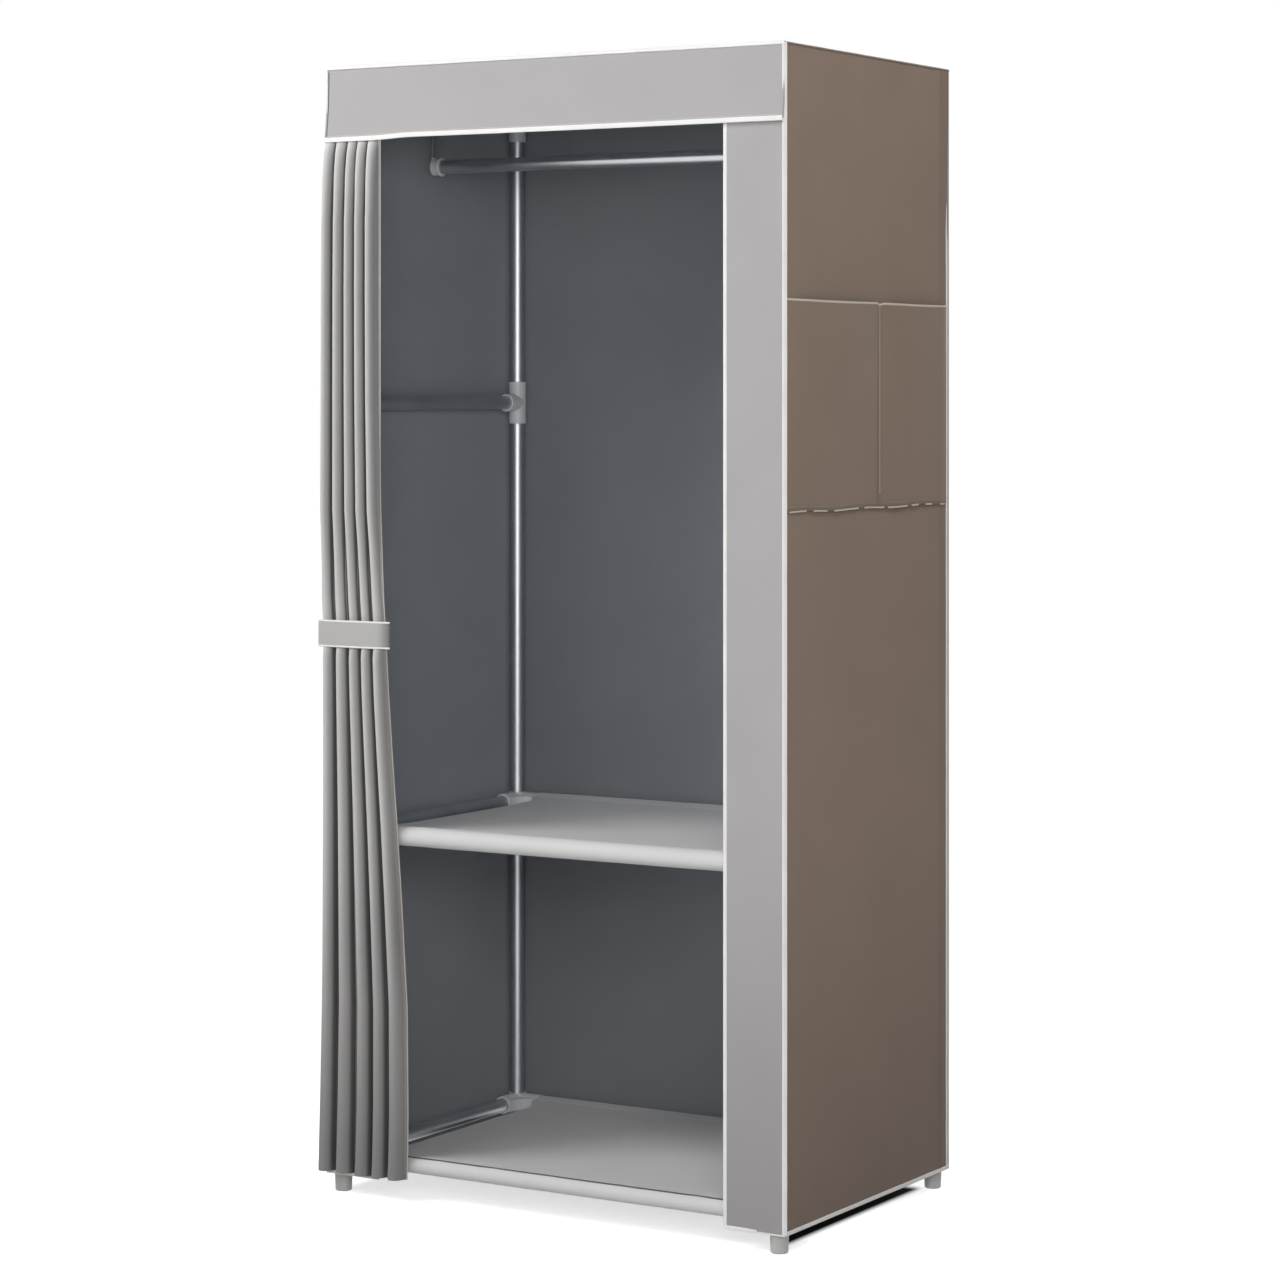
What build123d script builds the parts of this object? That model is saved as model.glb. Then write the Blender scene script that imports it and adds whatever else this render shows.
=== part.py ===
from build123d import *
import os
from math import pi, sin

# Fabric wardrobe: a push-fit tube frame with a fabric cover, a tied-back curtain and two fabric shelves.
# Millimetres. +Z up, the open front faces -Y, +X is the side with the pockets.
# The origin is on the floor, at the middle of the whole object's box.

# Cover, outside to outside of its edge binding
cover_width = 700.0
cover_depth = 456.0
cover_height = 1500.0
hem_height = 26.0
fabric = 1.2
binding = 0.6
binding_width = 4.5
strip_width = 86.0
valance_drop = 95.0
valance_flare = 4.2
strip_overlap = 3.0

# Tube frame
tube_diameter = 19.0
tube_wall = 0.9
connector_diameter = 25.0
socket_gap = 0.1
post_inset = 16.6
bottom_tube_height = 47.0
shelf_tube_height = 480.0
rail_tube_height = 1052.0
arm_length = 39.0
stop_distance = 11.0
stop_web = 2.0
gusset_thickness = 16.0
tee_half_length = 30.0
tee_branch_length = 30.0
top_arm_length = 58.5
mouth_chamfer = 0.8

# Feet
foot_diameter = 22.0
foot_floor = 6.0
foot_chamfer = 1.2

# Hanging rail and its two hangers
rail_drop = 106.7
cup_diameter = 22.8
cup_length = 12.5
cup_floor = 2.5
cup_start = 1.0
cup_rim_diameter = 25.8
cup_rim_length = 4.0
hanger_ring_wall = 2.6
hanger_ring_width = 16.0
stem_thickness = 3.2
stem_width = 6.0
stem_foot = 7.0

# Fabric shelves
shelf_roll_diameter = 26.0
base_roll_diameter = 23.0
shelf_side_gap = 1.0
shelf_sheet_rise = 3.5
shelf_fabric = 1.6
sleeve_gap = 0.25

# Side pockets
pocket_bottom = 918.0
pocket_top = 1182.0
pocket_divide_share = 0.556
pocket_margin = 5.0
pocket_seam = 6.0
pocket_fabric = 1.0
pocket_reach = 9.0
pocket_foot_reach = 1.2

# Curtain rod and clips
rod_diameter = 4.0
rod_rise = 14.0
rod_setback = 2.0
rod_end_gap = 0.4
clip_wall = 1.6
clip_gap = 0.1
clip_height = 13.0
clip_boss_width = 6.0
clip_boss_lip = 1.4

# Curtain, gathered at the left in five pleats
pleat_count = 5
pleat_gap = 0.4
pleat_sheet = 1.0
curtain_reach = 22.0
curtain_clear = 0.3
curtain_bottom = 30.0
curtain_top_width = 92.0
curtain_bottom_width = 140.0
curtain_tuck = 4.0
pinch_reach = 9.2
sleeve_wall = 0.8
rod_clear = 0.2
header_side_gap = 1.0

# Tieback band
band_height = 38.0
band_middle = 746.0
band_thickness = 1.5
band_bow = 3.0
band_overhang = 6.0
band_corner_radius = 4.0
band_clear = 0.4
band_margin = 3.0

# Where the pieces lie
left_edge = -(cover_width + pocket_reach - binding) / 2
right_edge = left_edge + cover_width
middle_x = (left_edge + right_edge) / 2
front_edge = -(cover_depth + curtain_clear + curtain_reach) / 2 + curtain_clear + curtain_reach
back_edge = front_edge + cover_depth
middle_y = (front_edge + back_edge) / 2
panel_left = left_edge + binding
panel_right = right_edge - binding
panel_front = front_edge + binding
panel_back = back_edge - binding
panel_top = cover_height - binding
panel_bottom = hem_height + binding
post_left = left_edge + post_inset
post_right = right_edge - post_inset
post_front = front_edge + post_inset
post_back = back_edge - post_inset
connector_radius = connector_diameter / 2
tube_radius = tube_diameter / 2
bore_radius = tube_radius + socket_gap
top_tube_height = panel_top - fabric - connector_radius
rail_height = top_tube_height - rail_drop
foot_height = bottom_tube_height - connector_radius
valance_bottom = cover_height - valance_drop
rod_height = valance_bottom + rod_rise
strip_top = valance_bottom + strip_overlap
opening_left = left_edge + strip_width
opening_right = right_edge - strip_width
rod_y = front_edge + rod_setback
overrun = connector_diameter

CORNERS = {
    "front_left": (post_left, post_front, False, False),
    "front_right": (post_right, post_front, True, False),
    "back_left": (post_left, post_back, False, True),
    "back_right": (post_right, post_back, True, True),
}
TURNS = {
    "+X": Rot(0, 90, 0),
    "+Y": Rot(-90, 0, 0),
    "-Y": Rot(90, 0, 0),
    "+Z": Rot(0, 0, 0),
    "-Z": Rot(180, 0, 0),
}
FROM_BASE = (Align.CENTER, Align.CENTER, Align.MIN)


def save(name, *solids):
    """Write one named sub-part from one or more separate solids."""
    shape = solids[0] if len(solids) == 1 else Compound(children=list(solids))
    export_step(shape, "parts/" + name + ".step")


def block(low, high):
    """A box between two opposite corners."""
    size = [b - a for a, b in zip(low, high)]
    return Pos(*low) * Box(*size, align=(Align.MIN, Align.MIN, Align.MIN))


def rod(start, turn, radius, length):
    """A round bar that leaves start in the direction named by turn."""
    return Pos(*start) * TURNS[turn] * Cylinder(radius, length, align=FROM_BASE)


def tube(start, turn, length):
    """A thin-walled frame tube."""
    outside = rod(start, turn, tube_radius, length)
    return outside - rod(start, turn, tube_radius - tube_wall, length)


def profile_x(points, low, high):
    """A prism along X over a closed outline of (y, z) points."""
    outline = Polyline(*[(low, y, z) for y, z in points], close=True)
    return extrude(make_face(outline), amount=high - low, dir=(1, 0, 0))


def at_corner(shape, x, y, flip_x, flip_y):
    """Turn a piece made for the front left corner into the one for any corner, and place it."""
    if flip_x:
        shape = mirror(shape, about=Plane.YZ)
    if flip_y:
        shape = mirror(shape, about=Plane.XZ)
    return Pos(x, y, 0) * shape


def mouth(start, turn, length):
    """The bevel that leads a tube into a socket, as the solid it removes."""
    cone = Cone(bore_radius, bore_radius + mouth_chamfer, mouth_chamfer, align=FROM_BASE)
    return Pos(*start) * TURNS[turn] * Pos(0, 0, length - mouth_chamfer) * cone


def socket(start, turn, length, stop):
    """The bore of one socket arm, from its stop to its mouth."""
    bore = Cylinder(bore_radius, length - stop, align=FROM_BASE)
    return Pos(*start) * TURNS[turn] * Pos(0, 0, stop) * bore + mouth(start, turn, length)


def gusset():
    """The moulded web between two horizontal arms, with its hollow quarter round."""
    reach = arm_length - connector_radius
    bend = arm_length - reach * sin(pi / 4)
    edge = [
        Line((0, 0), (arm_length, 0)),
        Line((arm_length, 0), (arm_length, connector_radius)),
        ThreePointArc((arm_length, connector_radius), (bend, bend), (connector_radius, arm_length)),
        Line((connector_radius, arm_length), (0, arm_length)),
        Line((0, arm_length), (0, 0)),
    ]
    return Pos(0, 0, -gusset_thickness / 2) * extrude(make_face(edge), amount=gusset_thickness)


def corner_connector(height, up, down, up_stop, down_stop):
    """A moulded corner with two horizontal sockets, a web between them and a post socket up, down or both."""
    center = (0, 0, 0)
    body = Sphere(connector_radius) + gusset()
    body += rod(center, "+X", connector_radius, arm_length)
    body += rod(center, "+Y", connector_radius, arm_length)
    body += rod(center, "+Z", connector_radius, up)
    body += rod(center, "-Z", connector_radius, down)
    body -= socket(center, "+X", arm_length, stop_distance)
    body -= socket(center, "+Y", arm_length, stop_distance)
    if up_stop is not None:
        body -= socket(center, "+Z", up, up_stop)
    if down_stop is not None:
        body -= socket(center, "-Z", down, down_stop)
    return Pos(0, 0, height) * body


def tee():
    """A moulded tee that joins two post tubes and carries one end of a side rail."""
    center = (0, 0, 0)
    body = rod((0, 0, -tee_half_length), "+Z", connector_radius, 2 * tee_half_length)
    body += rod(center, "+Y", connector_radius, tee_branch_length)
    body -= socket(center, "+Z", tee_half_length, stop_web / 2)
    body -= socket(center, "-Z", tee_half_length, stop_web / 2)
    body -= socket(center, "+Y", tee_branch_length, stop_distance)
    return Pos(0, 0, rail_tube_height) * body


def foot():
    """A tapered cap, pushed over the lower end of a post."""
    body = Cone(foot_diameter / 2, connector_radius, foot_height, align=FROM_BASE)
    body = chamfer(body.edges().group_by(Axis.Z)[0], foot_chamfer)
    return body - rod((0, 0, foot_floor), "+Z", bore_radius, foot_height)


def make_posts_and_joints():
    """The four posts in three tubes each, with every connector and foot."""
    thickness = stop_web / 2
    spans = [
        (foot_floor, shelf_tube_height - thickness),
        (shelf_tube_height + thickness, rail_tube_height - thickness),
        (rail_tube_height + thickness, top_tube_height - stop_distance),
    ]
    joints = {
        "bottom_connector": corner_connector(
            bottom_tube_height, connector_radius, connector_radius, 0, 0
        ),
        "shelf_connector": corner_connector(
            shelf_tube_height, connector_radius, connector_radius, thickness, thickness
        ),
        "mid_tee": tee(),
        "top_connector": corner_connector(
            top_tube_height, stop_distance, top_arm_length, None, stop_distance
        ),
    }
    feet = []
    for corner, place in CORNERS.items():
        x, y = place[:2]
        save("post_" + corner, *[tube((x, y, low), "+Z", high - low) for low, high in spans])
        feet.append(Pos(x, y, 0) * foot())
        for name, shape in joints.items():
            save(name + "_" + corner, at_corner(shape, *place))
    save("feet", *feet)


def make_level_tubes():
    """The horizontal tubes at the bottom, the shelf and the top, and the two side rails."""
    across = post_right - post_left - 2 * stop_distance
    along = post_back - post_front - 2 * stop_distance
    levels = {"bottom": bottom_tube_height, "shelf": shelf_tube_height, "top": top_tube_height}
    for level, height in levels.items():
        for side, y in (("front", post_front), ("back", post_back)):
            start = (post_left + stop_distance, y, height)
            save(level + "_tube_" + side, tube(start, "+X", across))
        for side, x in (("left", post_left), ("right", post_right)):
            start = (x, post_front + stop_distance, height)
            save(level + "_tube_" + side, tube(start, "+Y", along))
    for side, x in (("left", post_left), ("right", post_right)):
        start = (x, post_front + stop_distance, rail_tube_height)
        save("side_rail_" + side, tube(start, "+Y", along))


def rail_hanger():
    """A saddle on the top side tube, a flat stem and the cup on its side that holds the rail, for the left."""
    width = hanger_ring_width
    ring = rod((0, -width / 2, 0), "+Y", bore_radius + hanger_ring_wall, width)
    stem_top = -bore_radius - hanger_ring_wall / 2
    stem_bottom = -rail_drop - stem_foot
    stem = block(
        (-stem_thickness / 2, -stem_width / 2, stem_bottom),
        (stem_thickness / 2, stem_width / 2, stem_top),
    )
    cup = rod((cup_start, 0, -rail_drop), "+X", cup_diameter / 2, cup_length)
    rim = Cone(cup_diameter / 2, cup_rim_diameter / 2, cup_rim_length, align=FROM_BASE)
    rim_start = cup_start + cup_length - cup_rim_length
    cup += Pos(rim_start, 0, -rail_drop) * TURNS["+X"] * rim
    body = ring + stem + cup
    body -= rod((0, -width / 2, 0), "+Y", bore_radius, width)
    body -= rod((cup_start + cup_floor, 0, -rail_drop), "+X", bore_radius, cup_length)
    return Pos(0, 0, top_tube_height) * body


def make_rail():
    """The hanging rail under the top side tubes, with its hanger at each end."""
    end = cup_start + cup_floor
    length = post_right - post_left - 2 * end
    save("hanging_rail", tube((post_left + end, middle_y, rail_height), "+X", length))
    save("rail_hanger_left", at_corner(rail_hanger(), post_left, middle_y, False, False))
    save("rail_hanger_right", at_corner(rail_hanger(), post_right, middle_y, True, False))


def shelf_cloth(height, roll_diameter):
    """A fabric shelf: a sleeve on the front tube, a sleeve on the back tube and the sheet between them."""
    reach = arm_length + shelf_side_gap
    low = post_left + reach
    length = post_right - post_left - 2 * reach
    roll = roll_diameter / 2
    body = block(
        (low, post_front, height + shelf_sheet_rise - shelf_fabric),
        (low + length, post_back, height + shelf_sheet_rise),
    )
    for y in (post_front, post_back):
        body += rod((low, y, height), "+X", roll, length)
    for y in (post_front, post_back):
        body -= rod((low, y, height), "+X", tube_radius + sleeve_gap, length)
    return body


def valance_outline(forward, bottom):
    """The side view of the hanging valance, moved forward by the given amount."""
    hinge = panel_top - binding_width
    face = panel_front - forward
    low = face - valance_flare
    back = panel_front + fabric
    return [
        (back, panel_top - fabric),
        (face, panel_top - fabric),
        (face, hinge),
        (low, valance_bottom + binding_width),
        (low, bottom),
        (back, bottom),
    ]


def make_cover():
    """The cover's panels, meeting edge to edge, and the binding sewn over its edges."""
    under_top = panel_top - fabric
    inner_left = panel_left + fabric
    inner_right = panel_right - fabric
    behind_front = panel_front + fabric
    before_back = panel_back - fabric
    save("cover_top", block((panel_left, panel_front, under_top), (panel_right, panel_back, panel_top)))
    save("cover_back", block((panel_left, before_back, panel_bottom), (panel_right, panel_back, under_top)))
    save("cover_left", block((panel_left, behind_front, panel_bottom), (inner_left, before_back, under_top)))
    save("cover_right", block((inner_right, behind_front, panel_bottom), (panel_right, before_back, under_top)))
    save("front_strip_left", block(
        (panel_left, panel_front, panel_bottom), (opening_left - binding, behind_front, strip_top)
    ))
    save("front_strip_right", block(
        (opening_right + binding, panel_front, panel_bottom), (panel_right, behind_front, strip_top)
    ))
    whole = profile_x(valance_outline(0, valance_bottom + binding), panel_left, panel_right)
    hollow = Pos(0, fabric, 0) * profile_x(
        valance_outline(0, valance_bottom - overrun), inner_left, inner_right
    )
    above_strips = block((panel_left, panel_front, valance_bottom), (panel_right, behind_front, strip_top))
    save("valance", whole - hollow - above_strips)
    make_binding(inner_left, inner_right, behind_front)


def make_binding(inner_left, inner_right, behind_front):
    """The white binding: the box's edges, the valance's corners and lower edge, and the strips' inner edges."""
    frame = block((left_edge, front_edge, hem_height), (right_edge, back_edge, cover_height))
    frame -= block((panel_left, panel_front, panel_bottom), (panel_right, panel_back, panel_top))
    frame -= block(
        (inner_left, behind_front, hem_height), (inner_right, panel_back - fabric, panel_bottom)
    )
    low_x, high_x = left_edge + binding_width, right_edge - binding_width
    low_y, high_y = front_edge + binding_width, back_edge - binding_width
    low_z, high_z = hem_height + binding_width, cover_height - binding_width
    frame -= block((left_edge, low_y, low_z), (right_edge, high_y, high_z))
    frame -= block((low_x, front_edge, low_z), (high_x, back_edge, high_z))
    frame -= block((low_x, low_y, panel_top), (high_x, high_y, cover_height))
    frame -= block((opening_left, front_edge, hem_height), (opening_right, behind_front, panel_bottom))
    frame -= block((opening_left, front_edge, hem_height), (opening_right, panel_front, low_z))
    frame -= block((left_edge, front_edge, valance_bottom), (right_edge, panel_front, high_z))
    pieces = list(frame.solids())
    body = profile_x(valance_outline(0, valance_bottom), panel_left, panel_right)
    for low, high in ((left_edge, low_x), (high_x, right_edge)):
        corner = profile_x(valance_outline(binding, valance_bottom), low, high)
        corner -= body
        corner -= block((low, panel_front + binding_width, valance_bottom), (high, back_edge, cover_height))
        pieces += list((corner - frame).solids())
    edge_y = panel_front - valance_flare
    edge = block(
        (low_x, edge_y - binding, valance_bottom),
        (high_x, edge_y + fabric + binding, valance_bottom + binding_width),
    )
    edge -= block(
        (low_x, edge_y, valance_bottom + binding), (high_x, edge_y + fabric, valance_bottom + binding_width)
    )
    pieces += list(edge.solids())
    for inner, outer in ((opening_left, -1), (opening_right, 1)):
        wide = [inner, inner + outer * binding_width]
        slot = [inner + outer * binding, inner + outer * binding_width]
        strip = block(
            (min(wide), front_edge, panel_bottom + binding_width),
            (max(wide), behind_front + binding, strip_top),
        )
        strip -= block(
            (min(slot), panel_front, panel_bottom), (max(slot), behind_front, strip_top)
        )
        pieces += list(strip.solids())
    save("white_binding", *pieces)


def pocket_band(low, high, reach, height):
    """The level section of one pocket's front sheet: flat seams at both ends and a bow between them."""
    x = panel_right
    start, end = low + pocket_seam, high - pocket_seam
    middle = (start + end) / 2
    thin = x + pocket_fabric
    edge = [
        Line((x, low, height), (x, start, height)),
        ThreePointArc((x, start, height), (x + reach - pocket_fabric, middle, height), (x, end, height)),
        Line((x, end, height), (x, high, height)),
        Line((x, high, height), (thin, high, height)),
        Line((thin, high, height), (thin, end, height)),
        ThreePointArc((thin, end, height), (x + reach, middle, height), (thin, start, height)),
        Line((thin, start, height), (thin, low, height)),
        Line((thin, low, height), (x, low, height)),
    ]
    return make_face(edge)


def make_pockets():
    """Two open pockets side by side on the right side, bowing out at the mouth."""
    low = front_edge + pocket_margin
    high = back_edge - pocket_margin
    divide = low + pocket_divide_share * (high - low)
    pouches = []
    for start, end in ((low, divide), (divide, high)):
        bottom = pocket_band(start, end, pocket_foot_reach, pocket_bottom)
        top = pocket_band(start, end, pocket_reach, pocket_top)
        pouches.append(loft([bottom, top], ruled=True))
    save("side_pocket", pouches[0] + pouches[1])


def rod_clip():
    """A clip round a front post, with the boss that holds the curtain rod's left end."""
    ring_radius = tube_radius + clip_gap + clip_wall
    low = rod_height - clip_height / 2
    ring = rod((post_left, post_front, low), "+Z", ring_radius, clip_height)
    boss_left = post_left - ring_radius - clip_boss_lip
    lip = rod_diameter / 2 + clip_boss_lip
    boss = block(
        (boss_left, rod_y - lip, low), (boss_left + clip_boss_width, post_front, low + clip_height)
    )
    body = ring + boss
    body -= rod((post_left, post_front, low), "+Z", tube_radius + clip_gap, clip_height)
    rod_start = boss_left + clip_boss_lip - rod_end_gap
    body -= rod((rod_start, rod_y, rod_height), "+X", rod_diameter / 2 + clip_gap, cover_width)
    return body, rod_start + rod_end_gap, boss_left + clip_boss_width


def fold_section(left, right, back, reach, height):
    """The level section of one pleat: a flat back, two straight sides and a rounded crest."""
    width = right - left
    crown = min(width * crest_share, reach * crest_reach_share)
    shoulder = back - reach + crown
    lean = width * side_lean_share
    tip = left + width * tip_share
    edge = [
        Line((left, back, height), (left + lean, shoulder, height)),
        ThreePointArc(
            (left + lean, shoulder, height), (tip, back - reach, height), (right - lean, shoulder, height)
        ),
        Line((right - lean, shoulder, height), (right, back, height)),
        Line((right, back, height), (left, back, height)),
    ]
    return make_face(edge)


# Form of the gathered curtain below and above its band, as shares of the height there, the width gained
# towards the hem, the tuck at the left edge and the reach of the folds
below_band_shares = (
    (0.00, 0.92, 0.0, 1.00),
    (0.20, 1.00, 0.1, 0.97),
    (0.53, 0.80, 0.4, 0.90),
    (0.83, 0.45, 0.8, 0.86),
    (0.97, 0.29, 1.0, 0.78),
)
above_band_shares = (
    (0.04, 0.18, 0.9, 0.78),
    (0.24, 0.08, 0.5, 0.88),
    (0.68, 0.00, 0.3, 0.93),
    (0.95, 0.00, 0.6, 0.86),
    (0.98, 0.00, 0.8, 0.50),
)
waist_low_share = 0.26
waist_high_share = 0.20
pleat_shares = (0.0, 0.19, 0.40, 0.58, 0.77, 1.0)
crest_share = 0.40
crest_reach_share = 0.80
side_lean_share = 0.03
tip_share = 0.45


def curtain_levels(header_bottom):
    """Height, share of the spread, share of the tuck and reach of the folds, from the hem to the header."""
    waist_low = band_middle - band_height / 2 - band_margin
    waist_high = band_middle + band_height / 2 + band_margin
    levels = []
    for height_share, width_share, tuck_share, reach_share in below_band_shares:
        height = curtain_bottom + (waist_low - curtain_bottom) * height_share
        levels.append((height, width_share, tuck_share, curtain_reach * reach_share))
    levels.append((waist_low, waist_low_share, 1, pinch_reach))
    levels.append((waist_high, waist_high_share, 1, pinch_reach))
    for height_share, width_share, tuck_share, reach_share in above_band_shares:
        height = waist_high + (header_bottom - waist_high) * height_share
        levels.append((height, width_share, tuck_share, curtain_reach * reach_share))
    return levels


def make_curtain():
    """Five pleats on the rod, the rod and its clips."""
    clip, rod_start, header_left = rod_clip()
    mirrored = Pos(2 * middle_x, 0, 0) * mirror(clip, about=Plane.YZ)
    save("rod_clip_left", clip)
    save("rod_clip_right", mirrored)
    rod_length = 2 * (middle_x - rod_start)
    save("curtain_rod", rod((rod_start, rod_y, rod_height), "+X", rod_diameter / 2, rod_length))
    back = front_edge - curtain_clear
    header_bottom = valance_bottom - pleat_sheet
    header_left += header_side_gap
    header_right = left_edge + curtain_top_width
    spread = curtain_bottom_width - curtain_top_width
    bore = rod_diameter / 2 + rod_clear
    for number in range(pleat_count):
        low_share, high_share = pleat_shares[number : number + 2]
        sections = []
        for height, width_share, tuck_share, reach in curtain_levels(header_bottom):
            left = left_edge + curtain_tuck * tuck_share
            width = curtain_top_width + spread * width_share - curtain_tuck * tuck_share
            sections.append(fold_section(
                left + width * low_share + pleat_gap / 2,
                left + width * high_share - pleat_gap / 2,
                back, reach, height,
            ))
        header_width = header_right - header_left
        low = header_left + header_width * low_share + pleat_gap / 2
        high = header_left + header_width * high_share - pleat_gap / 2
        sections.append(fold_section(low, high, back, 2 * pleat_sheet, header_bottom))
        pleat = loft(sections, ruled=True)
        pleat += block((low, back - pleat_sheet, header_bottom), (high, back, rod_height))
        pleat += rod((low, rod_y, rod_height), "+X", bore + sleeve_wall, high - low)
        pleat -= rod((low, rod_y, rod_height), "+X", bore, high - low)
        save("curtain_pleat_" + str(number + 1), pleat)
    make_tieback(back)


def make_tieback(back):
    """The band round the gathered curtain, hinged at the left edge of the cover."""
    inner = back - pinch_reach - band_clear
    outer = inner - band_thickness
    left = left_edge
    corner = band_corner_radius
    width = curtain_top_width + (curtain_bottom_width - curtain_top_width) * waist_low_share
    right = left + width + band_overhang
    middle = (left + corner + right) / 2
    inside = left + band_thickness
    low = band_middle - band_height / 2
    bend = corner * (1 - sin(pi / 4))
    tight = corner - band_thickness
    tight_bend = band_thickness + tight * (1 - sin(pi / 4))
    edge = [
        Line((left, back, low), (left, outer + corner, low)),
        ThreePointArc((left, outer + corner, low), (left + bend, outer + bend, low), (left + corner, outer, low)),
        ThreePointArc((left + corner, outer, low), (middle, outer - band_bow, low), (right, outer, low)),
        Line((right, outer, low), (right, inner, low)),
        ThreePointArc((right, inner, low), (middle, inner - band_bow, low), (left + corner, inner, low)),
        ThreePointArc(
            (left + corner, inner, low), (left + tight_bend, outer + tight_bend, low), (inside, outer + corner, low)
        ),
        Line((inside, outer + corner, low), (inside, back, low)),
        Line((inside, back, low), (left, back, low)),
    ]
    save("tieback", extrude(make_face(edge), amount=band_height, dir=(0, 0, 1)))


os.makedirs("parts", exist_ok=True)
make_posts_and_joints()
make_level_tubes()
make_rail()
save("shelf_cloth_middle", shelf_cloth(shelf_tube_height, shelf_roll_diameter))
save("shelf_cloth_bottom", shelf_cloth(bottom_tube_height, base_roll_diameter))
make_cover()
make_pockets()
make_curtain()
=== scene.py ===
import math

import bpy
import numpy as np
from bpy.props import FloatProperty, FloatVectorProperty, PointerProperty
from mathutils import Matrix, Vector


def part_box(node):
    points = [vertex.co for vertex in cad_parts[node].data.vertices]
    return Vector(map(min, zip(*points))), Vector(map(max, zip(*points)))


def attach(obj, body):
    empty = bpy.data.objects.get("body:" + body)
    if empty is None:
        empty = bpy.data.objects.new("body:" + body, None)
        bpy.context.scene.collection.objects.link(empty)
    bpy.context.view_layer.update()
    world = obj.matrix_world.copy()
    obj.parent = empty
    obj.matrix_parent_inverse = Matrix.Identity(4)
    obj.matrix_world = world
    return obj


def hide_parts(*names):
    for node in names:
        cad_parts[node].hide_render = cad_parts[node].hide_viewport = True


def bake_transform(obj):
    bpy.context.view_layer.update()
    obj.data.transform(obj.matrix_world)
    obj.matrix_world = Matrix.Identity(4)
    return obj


bl_info = {
    "name": "Fabric wardrobe",
    "version": (1, 0, 0),
    "blender": (4, 5, 0),
    "location": "View3D > Sidebar > Wardrobe",
    "description": "Dresses a packed tube frame with its sewn cover, shelves, curtain and finishes",
    "category": "Add Mesh",
}

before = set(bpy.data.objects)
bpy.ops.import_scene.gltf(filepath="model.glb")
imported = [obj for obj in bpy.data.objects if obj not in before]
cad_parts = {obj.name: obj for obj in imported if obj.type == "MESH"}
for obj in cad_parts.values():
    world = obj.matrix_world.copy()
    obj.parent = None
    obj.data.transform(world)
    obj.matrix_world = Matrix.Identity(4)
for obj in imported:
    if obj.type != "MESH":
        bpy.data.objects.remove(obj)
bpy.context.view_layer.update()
MM = 0.001

# Small sizes that several pieces share
VALANCE_FALL = 95 * MM
CURTAIN_GAP = 0.9 * MM
TAPE_CELL = 30 * MM
TAPE_UNEVENNESS = 0.35 * MM
SHARP_DEGREES = 60

# The cover's corners and wall, its front face, and where the curtain, its rod and the posts stand
COVER_LOW, COVER_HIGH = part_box("white_binding")
PANEL_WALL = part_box("cover_right")[1].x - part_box("cover_right")[0].x
PANEL_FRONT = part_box("cover_top")[0].y
VALANCE_BOTTOM = COVER_HIGH.z - VALANCE_FALL
CURTAIN_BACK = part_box("front_strip_right")[0].y - CURTAIN_GAP
ROD_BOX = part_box("curtain_rod")
POST_BACK_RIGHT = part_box("post_back_right")

# For each side of the cover its outward, across and up directions, seen from outside
OUT = {
    "left": (Vector((-1, 0, 0)), Vector((0, -1, 0)), Vector((0, 0, 1))),
    "right": (Vector((1, 0, 0)), Vector((0, 1, 0)), Vector((0, 0, 1))),
    "front": (Vector((0, -1, 0)), Vector((1, 0, 0)), Vector((0, 0, 1))),
    "back": (Vector((0, 1, 0)), Vector((-1, 0, 0)), Vector((0, 0, 1))),
    "top": (Vector((0, 0, 1)), Vector((1, 0, 0)), Vector((0, 1, 0))),
}

# Seam lines and tape lines that the cloth leaves for the node trees that grow stitches and binding
SEAMS = {}
TAPES = {}


def paint(code):
    """A colour written as six hexadecimal digits, as Blender's linear values."""
    shares = [int(code[k:k + 2], 16) / 255 for k in (0, 2, 4)]
    return [s / 12.92 if s <= 0.04045 else ((s + 0.055) / 1.055) ** 2.4 for s in shares]


def length(name, description, millimetres):
    """A size that a user can change, in metres, with its default in millimetres."""
    return FloatProperty(
        name=name, description=description, default=millimetres * MM, min=0, subtype="DISTANCE", unit="LENGTH"
    )


def colour(name, description, code):
    """A colour that a user can change."""
    return FloatVectorProperty(
        name=name, description=description, default=paint(code), size=3, min=0, max=1, subtype="COLOR"
    )


def share(name, description, value):
    """A share from 0 to 1 that a user can change."""
    return FloatProperty(name=name, description=description, default=value, min=0, max=1, subtype="FACTOR")


def power(name, description, watts):
    """A lamp's power that a user can change."""
    return FloatProperty(name=name, description=description, default=watts, min=0, unit="POWER")


class FrameFinish(bpy.types.PropertyGroup):
    chrome: colour("Tube", "Colour of the chromed tubes", "c4c8cc")
    tube_roughness: share("Tube roughness", "How dull the chrome is", 0.46)
    rail: colour("Rail", "Colour of the hanging rail", "dcdee1")
    plastic: colour("Connectors", "Colour of the moulded connectors", "cfd1d3")
    foot: colour("Feet", "Colour of the foot caps", "bcbbba")
    stem: colour("Stem", "Colour of the hangers' stems", "7c7e82")


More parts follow.
